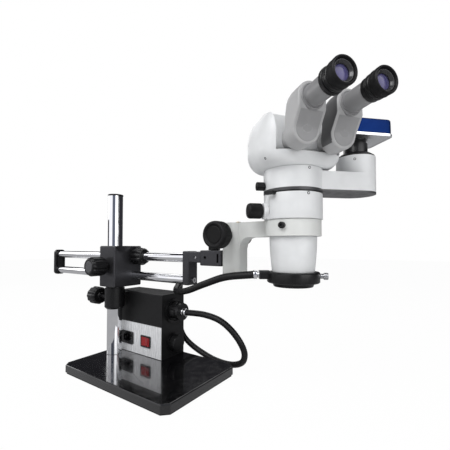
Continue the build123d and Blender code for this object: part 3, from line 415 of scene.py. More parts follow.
def turned_piece(name, corners, origin, axis, body, slot, look=None, sides=96, wave=None):
    """Piece turned about an axis; its look is its slot's unless one is given."""
    mesh = finished(name, turned(corners, origin, axis, sides, wave))
    return add_piece(name, mesh, body, look or LOOKS[slot])


def cut_away(piece, cutters):
    """Take cutters away from a piece's mesh, and delete them."""
    for cutter in cutters:
        change = piece.modifiers.new("cut", "BOOLEAN")
        change.operation = "DIFFERENCE"
        change.solver = "EXACT"
        change.object = cutter
    bpy.context.view_layer.update()
    result = bpy.data.meshes.new_from_object(piece.evaluated_get(bpy.context.evaluated_depsgraph_get()))
    piece.modifiers.clear()
    piece.data = result
    for cutter in cutters:
        bpy.data.objects.remove(cutter)


def cutter(name, shape):
    """Object that only cuts, from a bmesh in millimetres."""
    mesh = finished(name, shape)
    mesh.transform(Matrix.Scale(MM, 4))
    tool = bpy.data.objects.new(name, mesh)
    bpy.context.scene.collection.objects.link(tool)
    return tool


def round_edges(piece, width, angle=40):
    """Bevel a piece's sharp edges with a modifier."""
    bevel = piece.modifiers.new("edges", "BEVEL")
    bevel.width = width * MM
    bevel.segments = 3
    bevel.limit_method = "ANGLE"
    bevel.angle_limit = math.radians(angle)
    bevel.harden_normals = True


# ------------------------------------------------------------------ CAD parts that keep their shape
# Nodes with softened edges, and the width of their bevel.
MACHINED = {"base_plate": 0.8, "illuminator_case": 1.2, "rear_end_plate": 0.9, "front_bracket": 0.9,
            "swivel_adapter": 0.8, "focus_rail": 0.6, "focus_body": 1.6, "zoom_housing": 0.7,
            "objective_housing": 0.7, "camera_base": 0.6, "camera_adapter": 0.4, "ring_light_housing": 0.5}


NODE_LOOKS = {"port_housing": PORT_WHITE, "boom_block": BLOCK_SATIN, "front_bracket": BLOCK_SATIN,
              "swivel_adapter": BLOCK_SATIN}


def dress_cad_nodes():
    """Give every CAD node its material, and soften the edges of machined and cast parts."""
    for name, node in nodes.items():
        look = NODE_LOOKS.get(name, LOOKS[slot_of[name]])
        node.data.materials.clear()
        node.data.materials.append(look.material)
        if name in MACHINED:
            weld = node.modifiers.new("weld", "WELD")
            weld.merge_threshold = 0.01 * MM
            round_edges(node, MACHINED[name])


# ------------------------------------------------------------------ light guide
HOSE_R = 6.3
HOSE_PITCH = 5.2          # of the spiral strip that shows through the jacket
HOSE_GROOVE = 0.28
# The two bodies that each leg joins, and the places that it passes.
HOSE_LEGS = [
    ("stand", "collar", [(159, 60, 117), (212, 62, 118), (247, 66, 110), (271, 72, 92), (286.5, 80, 68)]),
    ("collar", "block", [(288.5, 90, 46), (276, 101, 24), (245, 107, 11), (180, 112, 14)]),
    ("block", "boom", [(112, 107, 50), (98, 104, 110), (112, 95, 168), (150, 42, 165)]),
    ("boom", "adapter", [(205, 12, 172)]),
    ("adapter", "focus_arm", [(258, 3, 190)]),
    ("focus_arm", "pod", [(305, -1, 205)]),
]
HOSE_END = (361.5, 0.6, 212.5)


def smooth_path(points, pace):
    """Even steps along a curve through the points; also where each of the points falls."""
    points = [Vector(point) for point in points]
    padded = [points[0] * 2 - points[1]] + points + [points[-1] * 2 - points[-2]]
    path = []
    marks = []
    for before, here, after, beyond in zip(padded, padded[1:], padded[2:], padded[3:]):
        marks.append(len(path))
        knots = [0.0]
        for first, second in ((before, here), (here, after), (after, beyond)):
            knots.append(knots[-1] + (second - first).length ** 0.5)
        steps = max(2, round((after - here).length / pace))
        for step in range(steps):
            t = knots[1] + (knots[2] - knots[1]) * step / steps
            a = before.lerp(here, (t - knots[0]) / (knots[1] - knots[0]))
            b = here.lerp(after, (t - knots[1]) / (knots[2] - knots[1]))
            c = after.lerp(beyond, (t - knots[2]) / (knots[3] - knots[2]))
            d = a.lerp(b, (t - knots[0]) / (knots[2] - knots[0]))
            e = b.lerp(c, (t - knots[1]) / (knots[3] - knots[1]))
            path.append(d.lerp(e, (t - knots[1]) / (knots[2] - knots[1])))
    path.append(points[-1])
    marks.append(len(path) - 1)
    return path, marks


def tube_rings(path, radius_at, sides=20):
    """Rings square to a path, carried along it without twist."""
    across = (path[1] - path[0]).orthogonal().normalized()
    rings = []
    travelled = 0.0
    for i, place in enumerate(path):
        ahead = (path[min(i + 1, len(path) - 1)] - path[max(i - 1, 0)]).normalized()
        across = (across - ahead * across.dot(ahead)).normalized()
        other = ahead.cross(across)
        if i:
            travelled += (place - path[i - 1]).length
        radius = radius_at(travelled)
        ring = []
        for side in range(sides):
            angle = 2 * math.pi * side / sides
            ring.append(place + (across * math.cos(angle) + other * math.sin(angle)) * radius)
        rings.append(ring)
    return rings


def add_hose():
    """Light guide in one piece per leg between two bodies, each curved through its points, the pieces meeting end
    to end.
    """
    points = [point for leg in HOSE_LEGS for point in leg[2]] + [HOSE_END]
    path, marks = smooth_path(points, 1.0)

    def radius_at(far):
        return HOSE_R - HOSE_GROOVE * (0.5 - 0.5 * math.cos(2 * math.pi * far / HOSE_PITCH)) ** 3

    rings = tube_rings(path, radius_at)
    first = 0
    for number, (start_body, end_body, leg) in enumerate(HOSE_LEGS, 1):
        last = first + len(leg)
        begin, finish = marks[first], marks[last]
        mesh = finished(f"light_guide_hose_{number}", skin(rings[begin:finish + 1]))
        piece = add_piece(mesh.name, mesh, None, LOOKS["hose_black"], 60)
        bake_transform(piece)
        if number == 1:
            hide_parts("light_guide")
        first = last


def add_hose_ends():
    """Polished ferrules where the light guide enters the lamp port and the ring light."""
    start = metres(*HOSE_LEGS[0][2][0])
    x_axis = Vector((1, 0, 0))
    corners = [(6.5, -9, 0), (8.2, -9, 0.4), (8.2, -4, 0.4), (7.5, -3.4, 0.3), (7.5, -1.6, 0.3),
               (8.2, -1, 0.4), (8.2, 3.5, 0.8), (7.0, 5, 0.4), (6.5, 5, 0)]
    turned_piece("guide_ferrule_lamp", corners, start, x_axis, "stand", "chrome")
    centre = joint_place("pod_turn")
    end = metres(*HOSE_END)
    outward = Vector((end.x - centre.x, end.y - centre.y, 0)).normalized()
    corners = [(4.2, -12, 0), (5.0, -12, 0.3), (5.0, -4.2, 0.3), (7.0, -3.6, 0.5), (7.0, 1.6, 0.7),
               (6.4, 2.4, 0.3), (4.2, 2.4, 0)]
    turned_piece("guide_ferrule_ring", corners, end, outward, "pod", "chrome")


# ------------------------------------------------------------------ knobs
# Node, joint, body, length of the grip and radius of the neck behind it.
CLAMP_KNOBS = [("collar_knob", "collar_clamp_turn", "collar_clamp", 31, 7.0),
               ("post_lock_knob", "post_lock_turn", "post_lock", 36, 12.0)]


def add_clamp_knob(node, joint, body, length, neck):
    """Fluted clamp knob with a crowned end and an inset end disc, on its threaded stud."""
    origin, axis = joint_place(joint), joint_axis(joint)
    low, high = span(node, origin, axis)
    radius = girth(node, origin, axis)
    face = high - length
    corners = [(0, low, 0), (3.9, low, 0.3), (3.9, face - 3, 0.2), (neck, face - 3, 0.6),
               (neck + 1, face, 0.6), (radius - 3.5, face, 1.0), (radius, face + 4, 3.0),
               (radius, high - 5, 3.5), (radius - 4.5, high, 3.0), (radius - 7.4, high, 0.5),
               (radius - 7.8, high - 1.0, 0.3), (0, high - 1.0, 0)]
    wave = grip(12, 1.9, face + 1.5, high - 1.5, 2.2, radius - 4)
    piece = turned_piece(node + "_grip", corners, origin, axis, body, "black_plastic", sides=144, wave=wave)
    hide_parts(node)
    disc = [(0, high - 1.2, 0), (radius - 8.2, high - 1.2, 0.2), (radius - 8.2, high - 0.5, 0.5),
            (radius - 9.2, high, 0.4), (0, high, 0)]
    turned_piece(node + "_disc", disc, origin, axis, body, "black_plastic", look=DISC_SATIN)


def add_rod_nut():
    """Long scalloped nut round the upper rod."""
    origin, axis = joint_place("rod_lock_turn"), joint_axis("rod_lock_turn")
    low, high = span("rod_lock_nut", origin, axis)
    radius = girth("rod_lock_nut", origin, axis)
    bore = 9.65
    corners = [(bore, low, 0), (radius - 5, low, 1), (radius - 0.2, low + 4.5, 3), (radius, high - 9, 4),
               (radius - 4.5, high - 1, 3), (radius - 8, high, 1.5), (bore, high, 0.4)]
    wave = grip(10, 2.4, low + 1, high - 2, 2.4, radius - 6)
    piece = turned_piece("rod_lock_nut_grip", corners, origin, axis, "rod_lock", "black_plastic",
                         sides=140, wave=wave)
    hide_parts("rod_lock_nut")


def add_focus_knobs():
    """Large focus knob on the user's side and a smaller one behind, ribbed, with a dished black face."""
    origin, axis = joint_place("focus_knob_turn"), joint_axis("focus_knob_turn")
    low, high = span("focus_knobs", origin, axis)
    radius = girth("focus_knobs", origin, axis)
    first = None
    knobs = (("focus_knob_near", -1, -low, radius, 25.5, 17.0, 54),
             ("focus_knob_far", 1, high, 17.5, 16.0, 2.0, 40))
    for name, side, end, size, length, neck, ribs in knobs:
        away = axis * side
        base = end - length
        dish = size * 0.70
        corners = [(3.05, base - neck + 0.4, 0), (11, base - neck + 0.4, 0.5), (11, base, 0.4),
                   (size - 4, base, 1.2), (size, base + 3, 2), (size, end - 6, 1.2),
                   (size - 0.7, end - 5.2, 0.4), (size - 0.7, end - 4.6, 0.4), (size - 0.2, end - 4, 0.6),
                   (size - 1.6, end, 2.2), (dish + 1.4, end, 1.0), (dish, end - 1.6, 0.8),
                   (dish - 0.8, end - 2.6, 0.6), (3.05, end - 3.0, 0)]
        wave = grip(ribs, 0.55, base + 1.5, end - 6.4, 1.4, size - 1.5)
        piece = turned_piece(name, corners, origin, away, "focus_drive", "black_rubber", sides=324, wave=wave)
        first = first or piece
        cap = [(0, end - 3.2, 0), (dish - 1.6, end - 3.2, 0.2), (dish - 1.6, end - 2.2, 0.5),
               (dish - 3.0, end - 1.9, 0.6), (0, end - 2.3, 0)]
        turned_piece(name + "_cap", cap, origin, away, "focus_drive", "anodised_black", look=DISC_BLACK)
    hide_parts("focus_knobs")


def add_zoom_knob():
    """Finely ribbed zoom knob with its shaft and the cam inside the housing."""
    origin, axis = joint_place("zoom_turn"), -joint_axis("zoom_turn")
    low, high = span("zoom_knob", origin, axis)
    radius = girth("zoom_knob", origin, axis)
    start = high - 23.5
    corners = [(0, low, 0), (3.9, low, 0.2), (3.9, -10, 0.1), (7, -10, 0.3), (7, 10, 0.3), (3.9, 10, 0.1),
               (3.9, start, 0.1), (radius - 2.5, start, 0.8), (radius - 0.4, start + 1.5, 0.8),
               (radius, start + 3, 0.6), (radius, high - 3.4, 1.2), (radius - 1.6, high - 0.8, 1.4),
               (radius - 3.4, high, 0.8), (radius - 4.0, high - 0.9, 0.4), (0, high - 0.9, 0)]
    wave = grip(36, 0.75, start + 3, high - 3, 1.3, radius - 1)
    piece = turned_piece("zoom_knob_grip", corners, origin, axis, "zoom", "black_rubber",
                         sides=216, wave=wave)
    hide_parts("zoom_knob")


# ------------------------------------------------------------------ eyepiece head
HEAD_CENTRE = joint_place("head_turn") / MM
HEAD_SIDE = joint_axis("head_tilt")
HEAD_FRONT = Vector((HEAD_SIDE.y, -HEAD_SIDE.x, 0))
SHELL_LOW, SHELL_HIGH = (corner.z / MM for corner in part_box("head_shell"))
SHELL_HALF = 68.6         # half width across the head, at the widest
SHELL_REACH = 53.4        # half depth
SHELL_CORNER = 3.4        # power of the superellipse: higher is squarer
SHELL_SIDES = 160
LIP_Z = 396.0             # lip of the opening under the drum
OPENING = 54.2            # half width of the opening between the cheeks
DRUM_ROOM = 43.3          # radius of the hollow round the drum
DRUM_ROOM_FLOOR = 387.0


def head_point(side, front, height):
    """World place, in millimetres, of a place in the head's own frame."""
    flat = HEAD_SIDE * side + HEAD_FRONT * front
    return Vector((HEAD_CENTRE.x + flat.x, HEAD_CENTRE.y + flat.y, height))


def shell_inset(height, low_part, high_part):
    """How far the shell's side draws in below its widest stretch and above it: two quarter ellipses."""
    for limit, depth, drawn, sign in ((SHELL_LOW, *low_part, -1), (SHELL_HIGH, *high_part, 1)):
        past = (height - limit) * sign + depth
        if past > 0:
            return drawn * (1 - math.sqrt(max(0.0, 1 - (past / depth) ** 2)))
    return 0.0


def shell_spot(angle, height, grow=0.0):
    """Place on the shell's surface in a direction round the head, moved outwards by grow."""
    half = SHELL_HALF + grow - shell_inset(height, (28, 24), (47, 27))
    reach = SHELL_REACH + grow - shell_inset(height, (20, 9), (44, 18))
    power = 2 / SHELL_CORNER
    across, along = math.cos(angle), math.sin(angle)
    side = half * math.copysign(abs(across) ** power, across)
    front = reach * math.copysign(abs(along) ** power, along)
    return head_point(side, front, height)


def head_block(outline, half):
    """Prism across the head from a (front, height) outline."""
    return skin([[head_point(side, front, height) for front, height in outline] for side in (-half, half)])


def add_head_shell():
    """Smooth moulded shell with the opening between its cheeks for the tilting drum."""
    heights = []
    levels = 30
    for step in range(levels + 1):
        heights.append(SHELL_LOW + (SHELL_HIGH - SHELL_LOW) * (0.5 - 0.5 * math.cos(math.pi * step / levels)))
    turns = [2 * math.pi * i / SHELL_SIDES for i in range(SHELL_SIDES)]
    rings = [[shell_spot(angle, height) for angle in turns] for height in heights]
    mesh = finished("head_cover", skin(rings))
    piece = add_piece("head_cover", mesh, "head", LOOKS["pod_white"], 40)
    tilt = joint_place("head_tilt") / MM
    ahead = (tilt - HEAD_CENTRE).dot(HEAD_FRONT)
    room = []
    for step in range(72):
        angle = 2 * math.pi * step / 72
        height = max(DRUM_ROOM_FLOOR, tilt.z + DRUM_ROOM * math.sin(angle))
        room.append((ahead + DRUM_ROOM * math.cos(angle), height))
    opening = [(85, LIP_Z), (-20, LIP_Z), (-20, 480), (85, 480)]
    cut_away(piece, [cutter("drum_room", head_block(room, OPENING)),
                     cutter("opening", head_block(opening, OPENING))])
    # The cut mesh is given its look and its smooth shading again.
    piece.data.materials.clear()
    piece.data.materials.append(LOOKS["pod_white"].material)
    for polygon in piece.data.polygons:
        polygon.use_smooth = True
    piece.data.set_sharp_from_angle(angle=math.radians(40))
    round_edges(piece, 1.1, 50)
    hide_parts("head_shell")


def add_lip_shadow_strip():
    """Dark strip along the lip of the opening, under the tilting drum: a painted shadow for the gap between the
    drum and the shell.
    """
    path = []
    for step in range(121):
        angle = math.radians(20 + 140 * step / 120)
        spot = shell_spot(angle, LIP_Z, -2.6)
        side = (spot - HEAD_CENTRE).dot(HEAD_SIDE)
        if abs(side) < OPENING - 0.4:
            path.append(spot + UP * 0.1)
    # Painted shadow: a thin black tube laid along the lip.
    mesh = finished("lip_painted_shadow", skin(tube_rings(path, lambda far: 1.15, 10)))
    add_piece("lip_painted_shadow", mesh, "head", LOOKS["black_rubber"], 60)


# A prism housing is drawn in its own frame: across the head, along RISE and along the eye tube.
HOUSING_HALF = 21.4
TUBE = joint_axis("eye_spacing_left")
RISE = (UP - TUBE * UP.dot(TUBE)).normalized()
EYE_RISE = (joint_place("diopter_turn") - joint_place("eye_spacing_left")).dot(RISE) / MM
FRONT_LOW, FRONT_HIGH = 32.0, 46.0
FACE_BREAK = 22.0         # rise where the leaning lower face meets the upper one
CROWN_START = 12.0
CROWN_TOP = EYE_RISE + HOUSING_HALF
BACK_LEAN, BACK_CURL = 8.0, 27.0
BACK_ROUND, FRONT_ROUND = 6.0, 2.4
PANEL_INSET = 4.2


def housing_back(rise):
    """Back surface of a prism housing: nearly straight, then curving forward over the crown."""
    back = BACK_LEAN * max(0.0, rise + HOUSING_HALF) / (CROWN_START + HOUSING_HALF)
    if rise > CROWN_START:
        past = (rise - CROWN_START) / (CROWN_TOP - CROWN_START)
        back = BACK_LEAN + BACK_CURL * (1 - math.sqrt(max(0.0, 1 - past * past)))
    return back


def housing_front(rise):
    """Front surface: a leaning lower face below a face square to the eye tube."""
    if rise > FACE_BREAK:
        return FRONT_HIGH
    if rise < 0:
        return FRONT_LOW + 0.15 * rise
    return FRONT_LOW + (FRONT_HIGH - FRONT_LOW) * rise / FACE_BREAK


def stadium(inset, top=None):
    """Rounded upright outline (across, rise); top levels it off at a rise."""
    outline = []
    radius = HOUSING_HALF - inset
    for middle, start in ((0.0, math.pi), (EYE_RISE, 0.0)):
        for step in range(25):
            angle = start + math.pi * step / 24
            outline.append((radius * math.cos(angle), middle + radius * math.sin(angle)))
        side = outline[-1][0]
        for step in range(1, 8):
            outline.append((side, middle + (EYE_RISE - 2 * middle) * step / 8))
    if top is not None:
        outline = [(across, min(rise, top)) for across, rise in outline]
    return outline


def rounding(inset, radius):
    """Depth of a rounded edge at an inset from its outline."""
    if inset >= radius:
        return 0.0
    return radius - math.sqrt(radius * radius - (radius - inset) ** 2)


def housing_ring(pivot, outline, depth):
    """World places, in millimetres, of an outline whose depth along the tube depends on its rise."""
    ring = []
    for across, rise in outline:
        ring.append(pivot / MM + HEAD_SIDE * across + RISE * rise + TUBE * depth(rise))
    return ring


def add_prism_cover(name, sign, pivot, body):
    """Curved housing with rounded edges; its inner side, towards the other housing, is painted a darker grey as
    painted shade.
    """
    rings = []
    for inset in (19.2, 16, 12, 8, 5.5, 3.8, 2.4, 1.3, 0.5, 0.0):
        edge = rounding(inset, BACK_ROUND)
        rings.append(housing_ring(pivot, stadium(inset), lambda rise: housing_back(rise) + edge))
    for share in (0.25, 0.5, 0.75):
        def side(rise):
            low, high = housing_back(rise) + BACK_ROUND, housing_front(rise) - FRONT_ROUND
            return low + max(0.0, high - low) * share
        rings.append(housing_ring(pivot, stadium(0.0), side))
    for inset in (0.0, 0.3, 0.9, 1.7, 2.6, 6, 10, 14, 19.2):
        edge = rounding(inset, FRONT_ROUND)
        rings.append(housing_ring(pivot, stadium(inset), lambda rise: housing_front(rise) - edge))
    mesh = finished(f"prism_cover_{name}", skin(rings))
    piece = add_piece(mesh.name, mesh, body, LOOKS["prism_grey"], 32)
    piece.data.materials.append(PRISM_SIDE_PAINTED_SHADE.material)
    # Faces turned towards the other housing take the darker grey: painted shade.
    for polygon in piece.data.polygons:
        if polygon.normal.dot(HEAD_SIDE) * sign < -0.80:
            polygon.material_index = 1
    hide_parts("prism_housing_" + name)


def add_prism_panel(name, pivot, body):
    """Darker inset panel on the leaning lower face."""
    panel = []
    levels = ((PANEL_INSET, -2.0), (PANEL_INSET, 0.15), (4.5, 0.4), (5.2, 0.5), (10, 0.5), (15, 0.5),
              (19.0, 0.5))
    for inset, lift in levels:
        top = FACE_BREAK - 3 - max(0.0, inset - PANEL_INSET) * 0.3
        panel.append(housing_ring(pivot, stadium(inset, top), lambda rise: housing_front(rise) + lift))
    mesh = finished(f"prism_panel_{name}", skin(panel))
    add_piece(mesh.name, mesh, body, PRISM_FACE, 32)


def add_prism_housing(name, sign):
    """Housing with its panel, the pivot stub that it turns on and the eye tube."""
    pivot = joint_place("eye_spacing_" + name)
    body = "eye_" + name
    add_prism_cover(name, sign, pivot, body)
    add_prism_panel(name, pivot, body)
    stub = [(12.0, -15, 0), (15.4, -15, 0.4), (15.4, 6, 0), (12.0, 6, 0)]
    turned_piece(f"prism_pivot_{name}", stub, pivot, TUBE, body, "prism_grey")
    origin = pivot + RISE * EYE_RISE * MM
    end = span(f"prism_housing_{name}", origin, TUBE)[1]
    tube = [(11.7, 43, 0), (17.6, 43, 0), (17.8, 46.8, 1.4), (16.4, 48.0, 0.8), (15.2, 47.4, 0.3),
            (14.0, 47.8, 0.3), (14.0, 49.6, 0.3), (14.4, 50.2, 0.5), (14.4, end - 1.4, 0.8), (13.6, end, 0.5),
            (11.7, end, 0)]
    turned_piece(f"eye_tube_{name}", tube, origin, TUBE, body, "prism_grey", look=TUBE_GREY)


def lens_dome(radius, edge, height, steps=8):
    """(radius, along, 0) corners of a lens surface from its rim to its middle."""
    corners = []
    for step in range(steps + 1):
        reach = radius * math.cos(math.pi / 2 * step / steps)
        corners.append((reach if step < steps else 0.0, edge + height * (1 - (reach / radius) ** 2), 0))
    return corners


def add_eyepiece(name):
    """Barrel and stepped body, rubber cup with a rolled rim, satin retaining ring and domed lens."""
    origin = joint_place("eye_spacing_" + name) + RISE * EYE_RISE * MM
    body = "eye_" + name
    low, end = span("eyepiece_" + name, origin, TUBE)
    tube_end = span("prism_housing_" + name, origin, TUBE)[1]
    size = girth("eyepiece_" + name, origin, TUBE)
    start = tube_end + 0.2
    barrel = [(9.6, low, 0), (11.4, low, 0.4), (11.4, start, 0), (size - 1.8, start, 0.5),
              (size - 1, start + 1, 0.5), (size - 1, start + 6.6, 0.2), (size - 1.5, start + 6.9, 0.1),
              (size - 1.5, start + 7.3, 0.1), (size - 0.2, start + 7.8, 0.4), (size - 0.1, start + 9.4, 0.2),
              (size - 0.6, start + 9.6, 0.1), (size - 0.6, start + 10, 0.1), (size - 0.1, start + 10.2, 0.2),
              (size - 0.1, end - 0.8, 0.3), (size - 0.6, end - 0.1, 0.3), (9.6, end - 0.1, 0)]
    piece = turned_piece(f"eyepiece_body_{name}", barrel, origin, TUBE, body, "anodised_black", sides=128)
    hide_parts("eyepiece_" + name)

    base, rim = span("eyecup_" + name, origin, TUBE)
    size = girth("eyecup_" + name, origin, TUBE)
    cup = [(11.9, base, 0), (size - 1.0, base, 0.4), (size - 0.1, base + 2, 1.0), (size - 0.5, base + 5, 0.8),
           (size - 0.1, base + 8, 0.8), (size, rim - 1.8, 1.4), (size - 1.5, rim, 1.2),
           (size - 2.8, rim - 0.6, 0.8), (size - 3.6, rim - 3, 0.6), (size - 4.0, rim - 5.5, 0.4),
           (11.9, base + 2.5, 0)]
    piece = turned_piece(f"eyecup_rubber_{name}", cup, origin, TUBE, body, "black_rubber", sides=128)
    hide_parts("eyecup_" + name)

    keeper = [(9.8, rim - 9, 0), (11.0, rim - 9, 0), (size - 4.2, rim - 5.4, 0.2),
              (size - 3.9, rim - 3.4, 0.5), (size - 4.8, rim - 2.8, 0.5), (10.4, rim - 5.4, 0.5),
              (9.8, rim - 6, 0.3)]
    turned_piece(f"lens_retainer_{name}", keeper, origin, TUBE, body, "anodised_black", look=RING_SATIN)
    lens = [(0, rim - 11, 0), (9.7, rim - 11, 0)] + lens_dome(9.7, rim - 7.4, 2.2)
    piece = turned_piece(f"eye_lens_dome_{name}", lens, origin, TUBE, body, "coated_glass")
    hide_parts("eye_lens_" + name)


def add_diopter_ring():
    """Finely ribbed focusing ring round the left eyepiece."""
    origin = joint_place("eye_spacing_left") + RISE * EYE_RISE * MM
    low, high = span("diopter_ring_left", origin, TUBE)
    size = girth("diopter_ring_left", origin, TUBE)
    bore = girth("eyepiece_left", origin, TUBE) - 0.94
    ring = [(bore, low, 0), (size - 0.8, low, 0.5), (size, low + 1, 0.5), (size, high - 1, 0.5),
            (size - 0.8, high, 0.5), (bore, high, 0)]
    wave = grip(60, 0.5, low + 0.8, high - 0.8, 1.5, size - 0.6)
    piece = turned_piece("diopter_ring_grip", ring, origin, TUBE, "diopter", "anodised_black",
                         sides=360, wave=wave)
    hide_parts("diopter_ring_left")


# ------------------------------------------------------------------ camera and fasteners
# How far the cover draws in, and the height above its seam where it does.
COVER_LEVELS = [(0.6, 0), (0.6, 0.9), (0.0, 1.2), (0.0, 8), (0.1, 16), (0.3, 21.2), (0.8, 22.6), (1.7, 23.5),
                (3.2, 24.0), (9, 24.5), (18, 24.8), (30, 25.0)]
COVER_CORNER = 9.5


def add_camera_cover():
    """Blue cover with generous corners, a shadow line above its seam and a slightly crowned top."""
    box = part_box("camera_adapter")
    tower = (box[0] + box[1]) / 2
    tower.z = 0
    along = -joint_axis("path_selector")
    across = UP.cross(along)
    ends = span("camera_cover", tower, along)
    half_wide = span("camera_cover", tower, across)[1]
    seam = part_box("camera_cover")[0].z / MM
    middle, half_long = (ends[0] + ends[1]) / 2, (ends[1] - ends[0]) / 2
    rings = []
    for inset, height in COVER_LEVELS:
        ring = []
        corner = max(COVER_CORNER - inset * 0.3, 1.0)
        for quarter in range(4):
            sx = (1, -1, -1, 1)[quarter]
            sy = (1, 1, -1, -1)[quarter]
            for step in range(13):
                angle = math.pi / 2 * (quarter + step / 12)
                x = sx * (half_long - inset - corner) + corner * math.cos(angle)
                y = sy * (half_wide - inset - corner) + corner * math.sin(angle)
                ring.append(tower / MM + along * (middle + x) + across * y + UP * (seam + height))
        rings.append(ring)
    mesh = finished("camera_cover_blue", skin(rings))
    piece = add_piece("camera_cover_blue", mesh, "port", LOOKS["camera_blue"], 35)
    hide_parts("camera_cover")


def add_socket_screw(name, place, outward, radius, body, look):
    """Screw head with a round recess, nearly flush with its surface; place in millimetres."""
    corners = [(0, -1.5, 0), (radius, -1.5, 0), (radius, 0.05, 0.3), (radius * 0.86, 0.35, 0.2),
               (radius * 0.62, 0.35, 0.1), (radius * 0.55, -0.5, 0), (0, -0.7, 0)]
    turned_piece(name, corners, place * MM, outward, body, "anodised_black", look=look, sides=36)


def add_wall_screws():
    """Screws in upright round walls: name, centre, wall radius, azimuth, height, screw radius, body, look."""
    pod = joint_place("pod_turn")
    low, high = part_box("camera_adapter")
    tower = (low + high) / 2
    screws = [("port_body_screw", pod, 46.5, -36, 373.6, 2.2, "port", RING_SATIN),
              ("dovetail_screw", pod, 46.0, -38, 336.2, 2.4, "pod", DISC_BLACK),
              ("camera_tube_screw", tower, 30.8, -80, 396.5, 2.0, "port", DISC_BLACK)]
    for name, centre, wall, azimuth, height, radius, body, look in screws:
        turn = math.radians(azimuth)
        outward = Vector((math.cos(turn), math.sin(turn), 0))
        place = Vector((centre.x / MM, centre.y / MM, 0)) + outward * wall + UP * height
        add_socket_screw(name, place, outward, radius, body, look)


def add_cheek_screw():
    """Screw low on the near cheek of the head's shell, square to the surface there."""
    cheek, height = math.radians(164), 387.0
    spot = shell_spot(cheek, height)
    onward = shell_spot(cheek + 0.03, height) - spot
    upward = shell_spot(cheek, height + 1) - spot
    outward = upward.cross(onward).normalized()
    add_socket_screw("cheek_screw", spot, outward, 2.0, "head", DISC_BLACK)


add_hose()
add_hose_ends()
for clamp_knob in CLAMP_KNOBS:
    add_clamp_knob(*clamp_knob)
add_rod_nut()
add_focus_knobs()
add_zoom_knob()
add_head_shell()
add_lip_shadow_strip()
for name, sign in (("left", -1), ("right", 1)):
    add_prism_housing(name, sign)
    add_eyepiece(name)
add_diopter_ring()
add_camera_cover()
add_wall_screws()
add_cheek_screw()
dress_cad_nodes()

# ------------------------------------------------------------------ stage, light and camera
FLOOR_HALF = 6000.0
FLOOR_GLOW = 0.97         # share of pure white in the floor that the camera sees
FLOOR_MIRRORED = (0.40, 0.40, 0.41, 1)
DAYLIGHT = 0.40           # even light from all round
DARK, SLATE, WHITE = (0.03, 0.03, 0.035, 1), (0.13, 0.145, 0.19, 1), (1.1, 1.1, 1.14, 1)
# The walls that mirror-like parts show, as colours at azimuths in degrees from +X.
WALLS = [(-180, DARK), (-153, DARK), (-144, WHITE), (-86.4, WHITE), (-79.2, SLATE), (-43.2, SLATE),
         (-36, WHITE), (14.4, WHITE), (21.6, DARK), (180, DARK)]
CAMERA_PLACE = (601.6, -428.7, 257.4)
CAMERA_TURN = 34.75       # to the left of +Y, in degrees
CAMERA_PITCH = 91.56      # up from straight down


def glow_for_camera(look):
    """Lift the floor to white where the camera sees it, and dim it in mirror-like reflections."""
    tree = look.tree
    path = tree.nodes.new("ShaderNodeLightPath")
    glow = tree.nodes.new("ShaderNodeEmission")
    glow.inputs["Color"].default_value = (1, 1, 1, 1)
    dim = tree.nodes.new("ShaderNodeEmission")
    dim.inputs["Color"].default_value = FLOOR_MIRRORED
    share = tree.nodes.new("ShaderNodeMath")
    share.operation = "MULTIPLY"
    share.inputs[1].default_value = FLOOR_GLOW
    look.link(path.outputs["Is Camera Ray"], share.inputs[0])
    bright = tree.nodes.new("ShaderNodeMixShader")
    look.link(share.outputs[0], bright.inputs[0])
    look.link(look.shader.outputs[0], bright.inputs[1])
    look.link(glow.outputs[0], bright.inputs[2])
    quiet = tree.nodes.new("ShaderNodeMixShader")
    look.link(path.outputs["Is Glossy Ray"], quiet.inputs[0])
    look.link(bright.outputs[0], quiet.inputs[1])
    look.link(dim.outputs[0], quiet.inputs[2])
    look.link(quiet.outputs[0], tree.nodes["Material Output"].inputs["Surface"])


def add_floor():
    """Wide pale floor, level and plain."""
    shape = bmesh.new()
    corners = [(-1, -1), (1, -1), (1, 1), (-1, 1)]
    shape.faces.new([shape.verts.new(Vector((x, y, 0)) * FLOOR_HALF) for x, y in corners])
    mesh = finished("floor", shape)
    mesh.transform(Matrix.Scale(MM, 4))
    floor = bpy.data.objects.new("floor", mesh)
    bpy.context.scene.collection.objects.link(floor)
    look = Look("pale_floor", Specular_IOR_Level=0.2)
    look.colour(look.blend(look.spread(look.noise(3), 0.0, 1.0), (0.86, 0.86, 0.86), (0.90, 0.90, 0.90)))
    look.roughness(look.spread(look.noise(12), 0.6, 0.75))
    glow_for_camera(look)
    mesh.materials.append(look.material)


def add_light(name, place, target, size, power):
    """Oblong soft light from a place towards a target, in millimetres and watts."""
    lamp = bpy.data.lights.new(name, "AREA")
    lamp.shape = "RECTANGLE"
    lamp.size, lamp.size_y = size[0] * MM, size[1] * MM
    lamp.energy = power
    holder = bpy.data.objects.new(name, lamp)
    holder.location = metres(*place)
    holder.rotation_euler = (metres(*target) - holder.location).to_track_quat("-Z", "Y").to_euler()
    bpy.context.scene.collection.objects.link(holder)


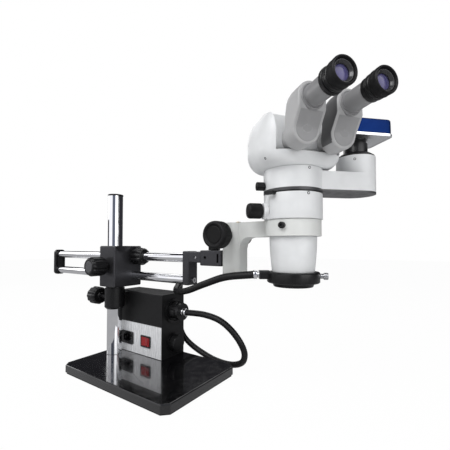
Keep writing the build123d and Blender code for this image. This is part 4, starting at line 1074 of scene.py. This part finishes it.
def add_world():
    """Studio: white behind the object, even light on it, and walls with bright strips in its reflections."""
    world = bpy.data.worlds.new("studio")
    world.use_nodes = True
    bpy.context.scene.world = world
    tree = world.node_tree
    sky = tree.nodes["Background"]
    place = tree.nodes.new("ShaderNodeTexCoord")
    around = tree.nodes.new("ShaderNodeTexGradient")
    around.gradient_type = "RADIAL"
    tree.links.new(place.outputs["Generated"], around.inputs["Vector"])
    bands = tree.nodes.new("ShaderNodeValToRGB")
    bands.color_ramp.interpolation = "EASE"
    ramp = bands.color_ramp.elements
    for number, (azimuth, colour) in enumerate(WALLS):
        position = azimuth / 360 + 0.5
        stop = ramp[0] if number == 0 else ramp[-1] if number == len(WALLS) - 1 else ramp.new(position)
        stop.position = position
        stop.color = colour
    tree.links.new(around.outputs["Fac"], bands.inputs["Fac"])
    path = tree.nodes.new("ShaderNodeLightPath")
    lit = tree.nodes.new("ShaderNodeMix")
    lit.data_type = "RGBA"
    tree.links.new(path.outputs["Is Camera Ray"], lit.inputs["Factor"])
    lit.inputs[MIX_COLOURS[0]].default_value = (DAYLIGHT, DAYLIGHT, DAYLIGHT, 1)
    lit.inputs[MIX_COLOURS[1]].default_value = (1, 1, 1, 1)
    seen = tree.nodes.new("ShaderNodeMix")
    seen.data_type = "RGBA"
    tree.links.new(path.outputs["Is Glossy Ray"], seen.inputs["Factor"])
    tree.links.new(lit.outputs[MIX_RESULT], seen.inputs[MIX_COLOURS[0]])
    tree.links.new(bands.outputs["Color"], seen.inputs[MIX_COLOURS[1]])
    tree.links.new(seen.outputs[MIX_RESULT], sky.inputs["Color"])


def add_camera():
    """Camera at the photograph's viewing angle, its picture shifted rather than tilted further."""
    camera = bpy.data.cameras.new("camera")
    camera.lens = 24.42
    camera.sensor_width = 36.0
    camera.shift_y = 0.029
    holder = bpy.data.objects.new("camera", camera)
    holder.location = metres(*CAMERA_PLACE)
    holder.rotation_euler = (math.radians(CAMERA_PITCH), 0, math.radians(CAMERA_TURN))
    bpy.context.scene.collection.objects.link(holder)
    bpy.context.scene.camera = holder


add_floor()
add_world()
add_light("key", (250, -1100, 1300), (200, 0, 200), (1100, 900), 17)
add_light("fill", (1300, -300, 700), (200, 0, 200), (800, 1100), 5)
add_light("left", (-1700, -350, 850), (0, 0, 250), (900, 800), 6)
add_light("back", (-500, 900, 1100), (200, 0, 250), (1200, 700), 5)
add_camera()
bpy.context.scene.view_settings.view_transform = "Standard"
